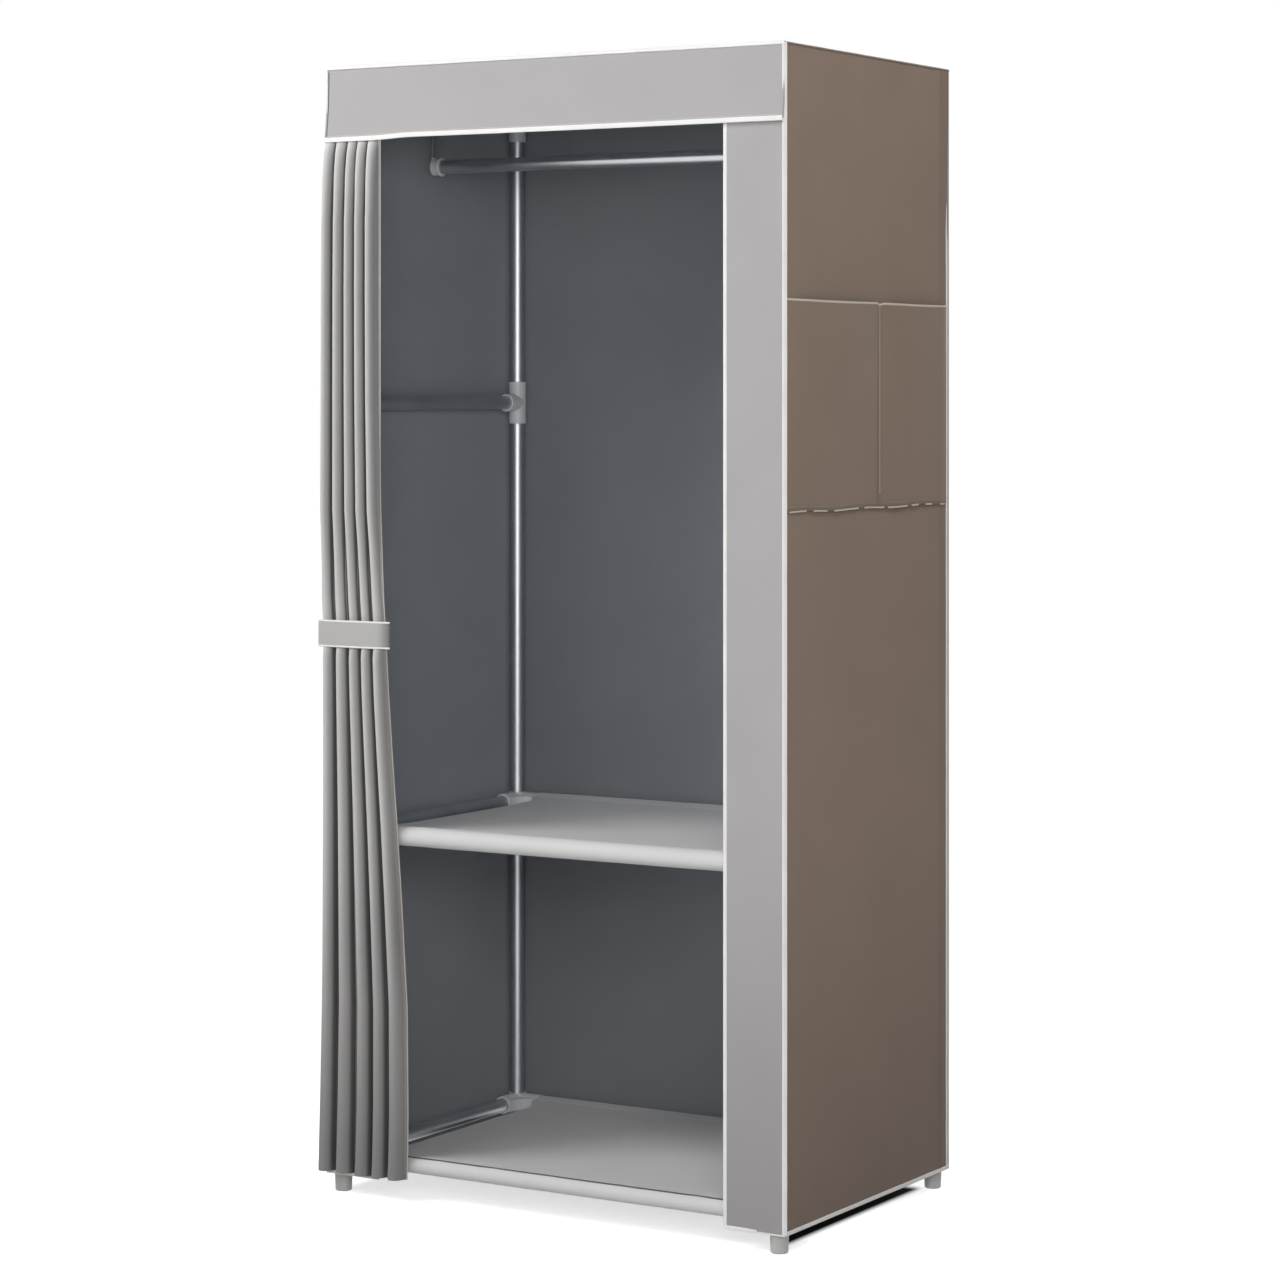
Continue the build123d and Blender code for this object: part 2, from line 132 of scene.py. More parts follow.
class ClothLook(bpy.types.PropertyGroup):
    front: colour("Front cloth", "Colour of the valance and the front strips", "b1afaf")
    side: colour("Side cloth", "Colour of the side, back and top panels", "8d796a")
    lining: colour("Lining", "Colour of the cover's inner face", "9b9fa5")
    # Low end and inner shade are painted shade: the cover painted darker near the floor, and its lining painted
    # darker away from the opening.
    low: share("Low end", "How much darker the strips and the right side lie near the floor", 0.2)
    inner: share("Inner shade", "How much darker the lining lies away from the opening", 0.37)
    tape: colour("Binding", "Colour of the edge binding and its thread", "f1f0ee")
    trim: colour("Pocket trim", "Colour of the pocket's edge and thread", "cbc1b6")
    rim: colour("Rim binding", "Colour of the binding round the top's sides and back", "74655a")
    # The dark seams are painted shade: dark tape along the seam at the valance's left end and behind the base
    # shelf's front roll.
    seam: colour("Pocket seam", "Colour of the folded seam between the pockets", "a29386")
    thread: colour("Dark thread", "Colour of the dark seams", "55585e")
    bond_pitch: length("Bond pitch", "Distance between the cloth's pressed points", 2.4)
    cell: length("Cell", "Grid size of the panels", 9.0)
    relief: length("Relief", "Height of the cover's soft unevenness", 0.9)
    draw_in: length("Draw-in", "How far a side panel hollows between its posts", 1.6)
    top_sag: length("Top sag", "How far the top hangs down between its tubes", 5.0)
    tape_width: length("Binding width", "Width of the folded edge binding", 5.4)
    corner_width: length("Corner width", "Width of the binding over the cover's corners", 6.4)
    tape_thickness: length("Binding thickness", "Thickness of the folded edge binding", 1.9)


class StitchSize(bpy.types.PropertyGroup):
    pitch: length("Stitch pitch", "Distance from stitch to stitch", 4.2)
    stitch: length("Stitch length", "Length of one stitch", 3.0)
    thread: length("Thread", "Thickness of the thread", 0.55)


class ShelfLook(bpy.types.PropertyGroup):
    cloth: colour("Shelf cloth", "Colour of the fabric shelves", "dcdbdb")
    thickness: length("Thickness", "Thickness of the shelf cloth", 1.4)
    sag: length("Sag", "How far a shelf hangs down at its middle", 4.0)
    sleeve: length("Sleeve", "How far behind its tube's axis a sleeve is sewn shut", 17.5)
    hollow: length("Hollow", "How far a shelf's side edges are cut in between its sleeves", 23.5)
    sheet_rise: length("Sheet rise", "Height of the shelf's sheet over its tubes' axes", 8.6)


class PocketLook(bpy.types.PropertyGroup):
    thickness: length("Thickness", "Thickness of the pocket cloth", 0.9)
    mouth_reach: length("Mouth reach", "How far a pocket's mouth stands off the side", 8.0)
    foot_reach: length("Foot reach", "How far a pocket's foot stands off the side", 1.0)
    mouth_sag: length("Mouth sag", "How far a pocket's mouth hangs down", 1.0)
    divide: share("Divide", "Where the seam between the pockets lies, from the front", 0.556)


class CurtainLook(bpy.types.PropertyGroup):
    cloth: colour("Curtain cloth", "Colour of the curtain", "dcdad9")
    thickness: length("Thickness", "Thickness of the curtain cloth", 0.8)
    reach: length("Reach", "How far the folds stand out of the cover", 16.4)
    waist_reach: length("Waist reach", "How far the folds stand out under the band", 5.5)
    row: length("Row", "Height of one row of the curtain's grid", 9.0)
    hem_height: length("Hem height", "Height of the curtain's double hem", 15.0)
    # Groove, turned side and low end are painted shade: between folds, on each fold's side turned from the
    # light, and towards the hem.
    groove: share("Groove", "How dark the cloth lies between two folds", 0.69)
    turned: share("Turned side", "How much darker a fold's right side lies than its left", 0.58)
    low: share("Low end", "How much darker the curtain hangs near the floor", 0.65)
    drop: length("Drop", "Flat length of the curtain from rod to hem", 1400.0)


class BandLook(bpy.types.PropertyGroup):
    cloth: colour("Band cloth", "Colour of the tieback band", "b9b8b7")
    thickness: length("Thickness", "Thickness of the padded band", 1.5)
    corner: length("Corner", "Radius of the band's turn at its loose end", 1.8)
    trim: length("Trim", "How far the band's cloth ends inside its binding", 2.2)
    loop: length("Loop", "How far the band's sewn end loops out of the cover's left edge", 6.5)


class StageLook(bpy.types.PropertyGroup):
    floor: colour("Floor", "Colour of the floor", "d4d4d3")
    floor_size: length("Floor size", "Side of the square floor", 60000.0)
    near: length("Near floor", "How far from the wardrobe the floor keeps its shadow", 1300.0)
    glow: share("Glow", "How far the floor near the wardrobe is lifted towards the white around it", 0.62)
    sky: share("Sky", "Strength of the soft light from all round", 0.04)
    key_power: power("Key", "Power of the large left lamp", 46.0)
    fill_power: power("Fill", "Power of the lamp at the opening", 25.0)
    low_power: power("Low", "Power of the low lamp in front", 15.0)
    top_power: power("Top", "Power of the high lamp in front", 12.0)
    back_power: power("Back", "Power of the lamp behind", 60.0)
    side_power: power("Side", "Power of the high lamp at the right", 21.0)


GROUPS = {
    "wardrobe_frame": FrameFinish,
    "wardrobe_cloth": ClothLook,
    "wardrobe_stitch": StitchSize,
    "wardrobe_shelf": ShelfLook,
    "wardrobe_pocket": PocketLook,
    "wardrobe_curtain": CurtainLook,
    "wardrobe_band": BandLook,
    "wardrobe_stage": StageLook,
}


# Meshes

def ease(value):
    """A smooth step from 0 to 1."""
    value = np.clip(value, 0, 1)
    return value * value * (3 - 2 * value)


def relief(u, v, size, seed):
    """Soft random bumps between -1 and 1 over flat cloth, each about size across."""
    table = np.random.default_rng(seed).uniform(-1, 1, (97, 89))
    x, y = u / size + 7.3, v / size + 5.1
    left, low = np.floor(x).astype(int), np.floor(y).astype(int)
    across, up = ease(x - left), ease(y - low)
    corner = [table[(left + a) % 97, (low + b) % 89] for b in (0, 1) for a in (0, 1)]
    return (corner[0] * (1 - across) + corner[1] * across) * (1 - up) + (
        corner[2] * (1 - across) + corner[3] * across
    ) * up


def held(u, v, width, height, margin):
    """0 along a panel's sewn edges and 1 further in than margin."""
    nearest = np.minimum(np.minimum(u, width - u), np.minimum(v, height - v))
    return ease(nearest / margin)


def steps(total, cell):
    """Even places from 0 to total, about cell apart."""
    return np.linspace(0, total, max(2, round(total / cell) + 1))


def mesh_object(name, vertices, faces, finishes, indices=None, uv=None):
    """A smooth mesh object at the origin, with its finishes given by name."""
    mesh = bpy.data.meshes.new(name)
    mesh.from_pydata(np.asarray(vertices).tolist(), [], np.asarray(faces).tolist())
    for finish in finishes:
        mesh.materials.append(material(finish))
    if indices is not None:
        mesh.polygons.foreach_set("material_index", indices)
    if uv is not None:
        corners = np.zeros(len(mesh.loops), np.int32)
        mesh.loops.foreach_get("vertex_index", corners)
        layer = mesh.uv_layers.new(name="Flat")
        layer.data.foreach_set("uv", np.asarray(uv)[corners].astype(np.float32).ravel())
    mesh.polygons.foreach_set("use_smooth", np.ones(len(mesh.polygons), bool))
    mesh.set_sharp_from_angle(angle=math.radians(SHARP_DEGREES))
    mesh.update()
    made = bpy.data.objects.new(name, mesh)
    bpy.context.scene.collection.objects.link(made)
    return made


def grid_normals(points):
    """The outward direction at each point of a grid whose rows run up and columns across."""
    normal = np.cross(np.gradient(points, axis=1), np.gradient(points, axis=0))
    size = np.linalg.norm(normal, axis=2, keepdims=True)
    return normal / np.maximum(size, 1e-12)


def cloth(name, points, thickness, outer, inner, shade=None, inner_shade=None):
    """A closed sheet of cloth about a grid of middle points. Returns the object and its outer face's grid.

    Shade is painted shade: how much darker each point is painted, in a fold's groove, along a crease, on a side
    turned from the light or near the floor. The inner face can differ.
    """
    rows, columns = points.shape[:2]
    normal = grid_normals(points)
    half = np.asarray(thickness) / 2 * np.ones((rows, columns))
    front = points + normal * half[..., None]
    back = points - normal * half[..., None]
    index = np.arange(rows * columns).reshape(rows, columns)
    quads = np.stack([index[:-1, :-1], index[:-1, 1:], index[1:, 1:], index[1:, :-1]], -1).reshape(-1, 4)
    ring = np.concatenate([index[0, :-1], index[:-1, -1], index[-1, :0:-1], index[:0:-1, 0]])
    after = np.roll(ring, -1)
    rim = np.stack([after, ring, ring + rows * columns, after + rows * columns], -1)
    faces = np.concatenate([quads, quads[:, ::-1] + rows * columns, rim])
    indices = np.concatenate([np.zeros(len(quads)), np.ones(len(quads)), np.zeros(len(rim))]).astype(np.int32)
    u = np.linalg.norm(np.diff(points, axis=1, prepend=points[:, :1]), axis=2).cumsum(1)
    v = np.linalg.norm(np.diff(points, axis=0, prepend=points[:1]), axis=2).cumsum(0)
    uv = np.stack([u, v], -1).reshape(-1, 2)
    vertices = np.concatenate([front.reshape(-1, 3), back.reshape(-1, 3)])
    made = mesh_object(name, vertices, faces, [outer, inner], indices, np.concatenate([uv, uv]))
    if shade is not None:
        both = np.stack([shade, shade if inner_shade is None else inner_shade])
        attribute = made.data.attributes.new("shade", "FLOAT", "POINT")
        attribute.data.foreach_set("value", both.astype(np.float32).ravel())
    return made, front


def keep_seam(group, line):
    """Remember a line of points that the stitching follows."""
    SEAMS.setdefault(group, []).append(np.asarray(line, float))


def keep_tape(group, line, facing):
    """Remember a line of points that the binding follows, and where its flat side faces."""
    line = np.asarray(line, float)
    facing = np.broadcast_to(np.asarray(facing, float), line.shape)
    TAPES.setdefault(group, []).append((line, facing))


def line_mesh(name, lines):
    """A mesh of edge runs, with the direction that each point faces."""
    points, edges, facing = [], [], []
    for line, direction in lines:
        start = len(points)
        points += line.tolist()
        facing += direction.tolist()
        edges += [(start + k, start + k + 1) for k in range(len(line) - 1)]
    mesh = bpy.data.meshes.new(name)
    mesh.from_pydata(points, edges, [])
    attribute = mesh.attributes.new("facing", "FLOAT_VECTOR", "POINT")
    attribute.data.foreach_set("vector", np.asarray(facing, np.float32).ravel())
    made = bpy.data.objects.new(name, mesh)
    bpy.context.scene.collection.objects.link(made)
    return made


# Geometry node trees

def node(tree, kind, inputs=None, **settings):
    """Add a node, with its settings and with values or links on its inputs."""
    made = tree.nodes.new(kind)
    for key, value in settings.items():
        setattr(made, key, value)
    for key, value in (inputs or {}).items():
        if isinstance(value, bpy.types.NodeSocket):
            tree.links.new(value, made.inputs[key])
        else:
            made.inputs[key].default_value = value
    return made


def scaled(tree, vector, value):
    """A vector or a colour times a value."""
    return node(tree, "ShaderNodeVectorMath", {0: vector, "Scale": value}, operation="SCALE").outputs[0]


def geometry_tree(name, sizes):
    """An empty geometry node tree with a geometry, the named sizes and a material as its inputs."""
    tree = bpy.data.node_groups.new(name, "GeometryNodeTree")
    tree.interface.new_socket("Geometry", in_out="INPUT", socket_type="NodeSocketGeometry")
    for size in sizes:
        tree.interface.new_socket(size, in_out="INPUT", socket_type="NodeSocketFloat")
    tree.interface.new_socket("Material", in_out="INPUT", socket_type="NodeSocketMaterial")
    tree.interface.new_socket("Geometry", in_out="OUTPUT", socket_type="NodeSocketGeometry")
    return tree, node(tree, "NodeGroupInput").outputs


def close_tree(tree, geometry, material):
    """End a tree in smooth, real geometry with its material."""
    real = node(tree, "GeometryNodeRealizeInstances", {"Geometry": geometry})
    smooth = node(tree, "GeometryNodeSetShadeSmooth", {"Geometry": real.outputs[0]})
    painted = node(tree, "GeometryNodeSetMaterial", {"Geometry": smooth.outputs[0], "Material": material})
    node(tree, "NodeGroupOutput", {"Geometry": painted.outputs[0]})


def tape_tree():
    """Folded binding along edge runs: a soft flat bead whose thin way follows the point attribute facing."""
    tree, given = geometry_tree("Edge binding", ("Width", "Thickness", "Unevenness"))
    runs = node(tree, "GeometryNodeMeshToCurve", {"Mesh": given["Geometry"]})
    facing = node(tree, "GeometryNodeInputNamedAttribute", {"Name": "facing"}, data_type="FLOAT_VECTOR")
    turned = node(
        tree, "GeometryNodeSetCurveNormal",
        {"Curve": runs.outputs[0], "Normal": facing.outputs["Attribute"]}, mode="FREE",
    )
    folded = node(
        tree, "GeometryNodeCurvePrimitiveQuadrilateral",
        {"Width": given["Thickness"], "Height": given["Width"]},
    )
    corner = node(tree, "ShaderNodeMath", {0: given["Thickness"], 1: 0.46}, operation="MULTIPLY")
    flat = node(
        tree, "GeometryNodeFilletCurve",
        {"Curve": folded.outputs[0], "Count": 3, "Radius": corner.outputs[0]}, mode="POLY",
    )
    swept = node(
        tree, "GeometryNodeCurveToMesh",
        {"Curve": turned.outputs[0], "Profile Curve": flat.outputs[0], "Fill Caps": True},
    )
    place = node(tree, "GeometryNodeInputPosition")
    bumps = node(tree, "ShaderNodeTexNoise", {"Vector": place.outputs[0], "Scale": 60.0, "Detail": 1.0})
    centred = node(
        tree, "ShaderNodeVectorMath", {0: bumps.outputs["Color"], 1: (0.5, 0.5, 0.5)}, operation="SUBTRACT"
    )
    moved = scaled(tree, centred.outputs[0], given["Unevenness"])
    soft = node(tree, "GeometryNodeSetPosition", {"Geometry": swept.outputs[0], "Offset": moved})
    close_tree(tree, soft.outputs[0], given["Material"])


def stitch_tree():
    """A row of rounded stitches along edge runs."""
    tree, given = geometry_tree("Stitches", ("Pitch", "Stitch", "Thread"))
    runs = node(tree, "GeometryNodeMeshToCurve", {"Mesh": given["Geometry"]})
    places = node(
        tree, "GeometryNodeResampleCurve", {"Curve": runs.outputs[0], "Length": given["Pitch"]}, mode="LENGTH"
    )
    bead = node(tree, "GeometryNodeMeshUVSphere", {"Segments": 6, "Rings": 4, "Radius": 0.5})
    size = node(
        tree, "ShaderNodeCombineXYZ", {"X": given["Thread"], "Y": given["Thread"], "Z": given["Stitch"]}
    )
    shaped = node(tree, "GeometryNodeTransform", {"Geometry": bead.outputs[0], "Scale": size.outputs[0]})
    tangent = node(tree, "GeometryNodeInputTangent")
    turn = node(tree, "FunctionNodeAlignRotationToVector", {"Vector": tangent.outputs[0]}, axis="Z")
    placed = node(
        tree, "GeometryNodeInstanceOnPoints",
        {"Points": places.outputs[0], "Instance": shaped.outputs[0], "Rotation": turn.outputs[0]},
    )
    close_tree(tree, placed.outputs[0], given["Material"])


def grow(name, lines, tree_name, sizes, finish):
    """Run a geometry node tree over edge runs and return the result as a plain mesh object."""
    source = line_mesh(name + "_runs", lines)
    modifier = source.modifiers.new("Sewing", "NODES")
    tree = bpy.data.node_groups[tree_name]
    modifier.node_group = tree
    sockets = {item.name: item.identifier for item in tree.interface.items_tree if item.in_out == "INPUT"}
    for size, value in sizes.items():
        modifier[sockets[size]] = value
    modifier[sockets["Material"]] = material(finish)
    depsgraph = bpy.context.evaluated_depsgraph_get()
    mesh = bpy.data.meshes.new_from_object(source.evaluated_get(depsgraph), depsgraph=depsgraph)
    mesh.name = name
    bpy.data.objects.remove(source)
    made = bpy.data.objects.new(name, mesh)
    bpy.context.scene.collection.objects.link(made)
    return made


def sew_tape(name, group, finish, width, thickness, slot, body="root"):
    """Binding along the tape lines kept for a group."""
    sizes = {"Width": width, "Thickness": thickness, "Unevenness": TAPE_UNEVENNESS}
    made = grow(name, TAPES[group], "Edge binding", sizes, finish)
    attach(made, body)
    return made


def sew_stitches(context, name, group, finish, body="root"):
    """Stitches along the seam lines kept for a group."""
    look = context.scene.wardrobe_stitch
    sizes = {"Pitch": look.pitch, "Stitch": look.stitch, "Thread": look.thread}
    lines = [(line, np.zeros_like(line)) for line in SEAMS[group]]
    made = grow(name, lines, "Stitches", sizes, finish)
    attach(made, body)


# Shared shader effects, each a node group that puts out colours, values or heights only

def shader_group(name, inputs, outputs):
    """An empty shader node group with named sockets."""
    tree = bpy.data.node_groups.new(name, "ShaderNodeTree")
    for socket, kind in inputs:
        tree.interface.new_socket(socket, in_out="INPUT", socket_type="NodeSocket" + kind)
    for socket, kind in outputs:
        tree.interface.new_socket(socket, in_out="OUTPUT", socket_type="NodeSocket" + kind)
    return tree, node(tree, "NodeGroupInput").outputs


def maths(tree, operation, first, second=0.0):
    """One sum of two values or sockets."""
    return node(tree, "ShaderNodeMath", {0: first, 1: second}, operation=operation).outputs[0]


def spread(tree, value, low, high, to_low=0.0, to_high=1.0):
    """A value moved from one range to another, held inside it."""
    inputs = {"Value": value, "From Min": low, "From Max": high, "To Min": to_low, "To Max": to_high}
    return node(tree, "ShaderNodeMapRange", inputs).outputs[0]


def noise(tree, vector, scale, detail=2.0):
    """Soft noise about one half."""
    inputs = {"Vector": vector, "Scale": scale, "Detail": detail}
    return node(tree, "ShaderNodeTexNoise", inputs).outputs[0]


def mixed(tree, factor, first, second, blend="MIX"):
    """Two colours mixed."""
    made = node(tree, "ShaderNodeMix", {0: factor, 6: first, 7: second}, data_type="RGBA", blend_type=blend)
    return made.outputs[2]


def bonded_cloth_group():
    """Spun-bonded cloth: pressed points in a diamond grid, matted fibres and slow shade changes, darkened by
    the painted shade that each piece carries.
    """
    tree, given = shader_group(
        "Bonded cloth",
        (
            ("Flat", "Vector"), ("Colour", "Color"), ("Pitch", "Float"), ("Mottle", "Float"), ("Dull", "Float"),
            ("Shade", "Float"),
        ),
        (("Colour", "Color"), ("Roughness", "Float"), ("Height", "Float")),
    )
    parts = node(tree, "ShaderNodeSeparateXYZ", {0: given["Flat"]}).outputs
    turns = maths(tree, "DIVIDE", math.pi, given["Pitch"])
    one = maths(tree, "MULTIPLY", maths(tree, "ADD", parts[0], parts[1]), turns)
    other = maths(tree, "MULTIPLY", maths(tree, "SUBTRACT", parts[0], parts[1]), turns)
    dots = maths(tree, "MULTIPLY", maths(tree, "SINE", one), maths(tree, "SINE", other))
    pressed = spread(tree, maths(tree, "ABSOLUTE", dots), 0.45, 0.85)
    stretched = node(tree, "ShaderNodeMapping", {"Vector": given["Flat"], "Scale": (1.0, 0.45, 1.0)}).outputs[0]
    fibre = noise(tree, stretched, 1500.0, 3.0)
    slow = noise(tree, given["Flat"], 9.0, 3.0)
    shade = maths(tree, "MULTIPLY", maths(tree, "SUBTRACT", slow, 0.5), given["Mottle"])
    fine = maths(tree, "MULTIPLY", maths(tree, "SUBTRACT", fibre, 0.5), 0.22)
    darker = maths(tree, "MULTIPLY", pressed, -0.07)
    even = maths(tree, "ADD", maths(tree, "ADD", maths(tree, "ADD", shade, fine), darker), 1.0)
    # Darken by the piece's painted shade.
    total = maths(tree, "MULTIPLY", even, maths(tree, "SUBTRACT", 1.0, given["Shade"]))
    rough = spread(tree, fibre, 0.3, 0.7, 0.0, 0.08)
    raised = maths(tree, "MULTIPLY", fibre, 0.35)
    height = maths(tree, "SUBTRACT", raised, maths(tree, "MULTIPLY", pressed, 0.65))
    node(tree, "NodeGroupOutput", {
        "Colour": scaled(tree, given["Colour"], total), "Height": height,
        "Roughness": maths(tree, "ADD", rough, given["Dull"]),
    })


def handled_group():
    """Moulded plastic or plated steel as it is after handling: cloudy patches, fine marks and dust."""
    tree, given = shader_group(
        "Handled surface",
        (("Place", "Vector"), ("Colour", "Color"), ("Polish", "Float"), ("Cloud", "Float"), ("Grain", "Float")),
        (("Colour", "Color"), ("Roughness", "Float"), ("Height", "Float")),
    )
    cloud = noise(tree, given["Place"], 22.0, 3.0)
    grain = noise(tree, given["Place"], given["Grain"], 2.0)
    tone = spread(tree, cloud, 0.3, 0.7, 0.94, 1.03)
    clouded = maths(tree, "MULTIPLY", maths(tree, "SUBTRACT", cloud, 0.5), given["Cloud"])
    node(tree, "NodeGroupOutput", {
        "Colour": scaled(tree, given["Colour"], tone), "Height": grain,
        "Roughness": maths(tree, "ADD", given["Polish"], clouded),
    })

# Materials

CLOTH_RELIEF = 0.12 * MM
TAPE_RELIEF = 0.15 * MM
PLASTIC_RELIEF = 0.05 * MM
PLATED_RELIEF = 0.02 * MM
STEM_START = 3.5 * MM
STEM_FADE = 1 * MM


def new_material(name):
    """An empty node material with its Principled shader."""
    made = bpy.data.materials.new(name)
    made.use_nodes = True
    return made.node_tree, made.node_tree.nodes["Principled BSDF"]


def effect(tree, name, values):
    """A shared effect's node, with its values set or linked."""
    return node(tree, "ShaderNodeGroup", values, node_tree=bpy.data.node_groups[name])


def finish_material(tree, shader, group, strength, distance):
    """Join an effect's colour, roughness and height to the shader."""
    tree.links.new(group.outputs["Colour"], shader.inputs["Base Color"])
    tree.links.new(group.outputs["Roughness"], shader.inputs["Roughness"])
    bump = node(tree, "ShaderNodeBump", {
        "Strength": strength, "Distance": distance, "Height": group.outputs["Height"],
    })
    tree.links.new(bump.outputs[0], shader.inputs["Normal"])


def cloth_material(name, tint, pitch, mottle, dull=0.78, sheen=0.15, bump=0.55):
    """Bonded cloth that follows the piece's flat measure, darkened by the piece's painted shade attribute."""
    tree, shader = new_material(name)
    group = effect(tree, "Bonded cloth", {
        "Flat": node(tree, "ShaderNodeUVMap", uv_map="Flat").outputs[0],
        "Shade": node(tree, "ShaderNodeAttribute", attribute_name="shade").outputs["Fac"],
        "Colour": (*tint, 1), "Pitch": pitch, "Mottle": mottle, "Dull": dull,
    })
    shader.inputs["Sheen Weight"].default_value = sheen
    shader.inputs["Sheen Roughness"].default_value = 0.5
    shader.inputs["Specular IOR Level"].default_value = 0.25
    finish_material(tree, shader, group, bump, CLOTH_RELIEF)


def solid_material(name, tint, polish, cloud, grain, bump, distance, metallic=0.0, sheen=0.0):
    """A moulded, plated or sewn finish in object coordinates."""
    tree, shader = new_material(name)
    group = effect(tree, "Handled surface", {
        "Place": node(tree, "ShaderNodeTexCoord").outputs["Object"],
        "Colour": (*tint, 1), "Polish": polish, "Cloud": cloud, "Grain": grain,
    })
    shader.inputs["Metallic"].default_value = metallic
    if sheen:
        shader.inputs["Sheen Weight"].default_value = sheen
    finish_material(tree, shader, group, bump, distance)


def material(name):
    """A finish that was made before."""
    return bpy.data.materials[name]


class WARDROBE_OT_mix_finishes(bpy.types.Operator):
    """Make the shared effects, the finishes and the sewing trees"""
    bl_idname = "wardrobe.mix_finishes"
    bl_label = "Mix finishes"

    def execute(self, context):
        bonded_cloth_group()
        handled_group()
        tape_tree()
        stitch_tree()
        scene = context.scene
        look, cover = scene.wardrobe_frame, scene.wardrobe_cloth
        pitch = cover.bond_pitch
        cloth_material("Front cloth", cover.front, pitch, 0.12)
        cloth_material("Side cloth", cover.side, pitch, 0.16)
        cloth_material("Lining", cover.lining, pitch, 0.14, sheen=0.1)
        cloth_material("Shelf cloth", scene.wardrobe_shelf.cloth, pitch, 0.08, dull=0.62)
        cloth_material("Curtain cloth", scene.wardrobe_curtain.cloth, pitch, 0.1)
        cloth_material("Band cloth", scene.wardrobe_band.cloth, pitch, 0.06)
        for name, tint in (
            ("Binding", cover.tape), ("Pocket trim", cover.trim), ("Pocket seam", cover.seam),
            ("Dark thread", cover.thread), ("Rim binding", cover.rim),
        ):
            solid_material(name, tint, 0.8, 0.1, 900.0, 0.5, TAPE_RELIEF, sheen=0.2)
        for name, tint, polish, cloud, grain, bump in (
            ("Chromed tube", look.chrome, look.tube_roughness, 0.12, 260.0, 0.05),
            ("Rail chrome", look.rail, 0.33, 0.1, 260.0, 0.05),
            ("Rod steel", look.chrome, 0.3, 0.1, 300.0, 0.1),
        ):
            solid_material(name, tint, polish, cloud, grain, bump, PLATED_RELIEF, metallic=1.0)
        for name, tint, polish, bump in (
            ("Moulded grey", look.plastic, 0.5, 0.35), ("Foot plastic", look.foot, 0.45, 0.3),
            ("Hanger", look.plastic, 0.45, 0.3),
        ):
            solid_material(name, tint, polish, 0.12, 1400.0, bump, PLASTIC_RELIEF)
        self.darken_stem(material("Hanger").node_tree, look)
        return {"FINISHED"}

    @staticmethod
    def darken_stem(tree, look):
        """Darken the hanger's stem over its moulded cup."""
        place = node(tree, "ShaderNodeTexCoord")
        height = node(tree, "ShaderNodeSeparateXYZ", {0: place.outputs["Object"]}).outputs[2]
        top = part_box("hanging_rail")[1].z + STEM_START
        tint = mixed(tree, spread(tree, height, top, top + STEM_FADE), (*look.plastic, 1), (*look.stem, 1))
        group = next(made for made in tree.nodes if made.bl_idname == "ShaderNodeGroup")
        tree.links.new(tint, group.inputs["Colour"])


class WARDROBE_OT_finish_frame(bpy.types.Operator):
    """Give the tubes, connectors, hangers, clips and feet their finishes"""
    bl_idname = "wardrobe.finish_frame"
    bl_label = "Finish frame"

    def execute(self, context):
        finishes = (
            ("curtain_rod", "Rod steel"), ("feet", "Foot plastic"),
            ("connector", "Moulded grey"), ("mid_tee", "Moulded grey"),
            ("rail_hanger", "Hanger"), ("rod_clip", "Moulded grey"),
            ("post_", "Chromed tube"), ("_tube_", "Chromed tube"),
            ("hanging_rail", "Rail chrome"), ("_rail", "Chromed tube"),
        )
        for name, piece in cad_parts.items():
            found = next((finish for part, finish in finishes if part in name), None)
            if found is None:
                continue
            for place in piece.material_slots:
                place.link = "OBJECT"
                place.material = material(found)
        return {"FINISHED"}


# The cover

PANEL_MARGIN = 40 * MM
STRIP_MARGIN = 18 * MM
WIDE_BUMP = 160 * MM
SMALL_BUMP = 50 * MM
# Sizes of the painted shade line on a crease, and the crease's place before the back post
CREASE_HALF = 3 * MM
CREASE_MIDDLE = 1.5 * MM
CREASE_BEFORE_POST = 2 * MM
# Height up to which the low end is painted darker
LOW_SHADE_HEIGHT = 560 * MM
TURN_START = 16 * MM
TURN_LIFT = 0.6 * MM
TURN_FALL = 3.4 * MM
TURN_HEIGHT = 190 * MM
RIPPLE_PITCH = 70 * MM
RIPPLE_RISE = 400 * MM
RIPPLE = 0.5 * MM
crease_steps_mm = (-3, 0, 3, 6)


def stand_in(made, node_name, body="root"):
    """Let a sheet ride on a body, when one is given, in place of its CAD node, which is hidden."""
    if body:
        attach(made, body)
    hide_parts(node_name)


def panel_grid(node_name, side, cell, extra=()):
    """A flat grid through the middle of a panel's wall, with its flat places and its outward direction."""
    low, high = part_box(node_name)
    out, across, up = OUT[side]
    middle = (low + high) / 2
    half = (high - low) / 2
    width = 2 * abs(half.dot(across))
    height = 2 * abs(half.dot(up))
    start = middle - across * (width / 2) - up * (height / 2)
    u, v = np.meshgrid(np.union1d(steps(width, cell), extra), steps(height, cell))
    points = np.array(start) + u[..., None] * np.array(across) + v[..., None] * np.array(up)
    return points, u, v, width, height, np.array(out)


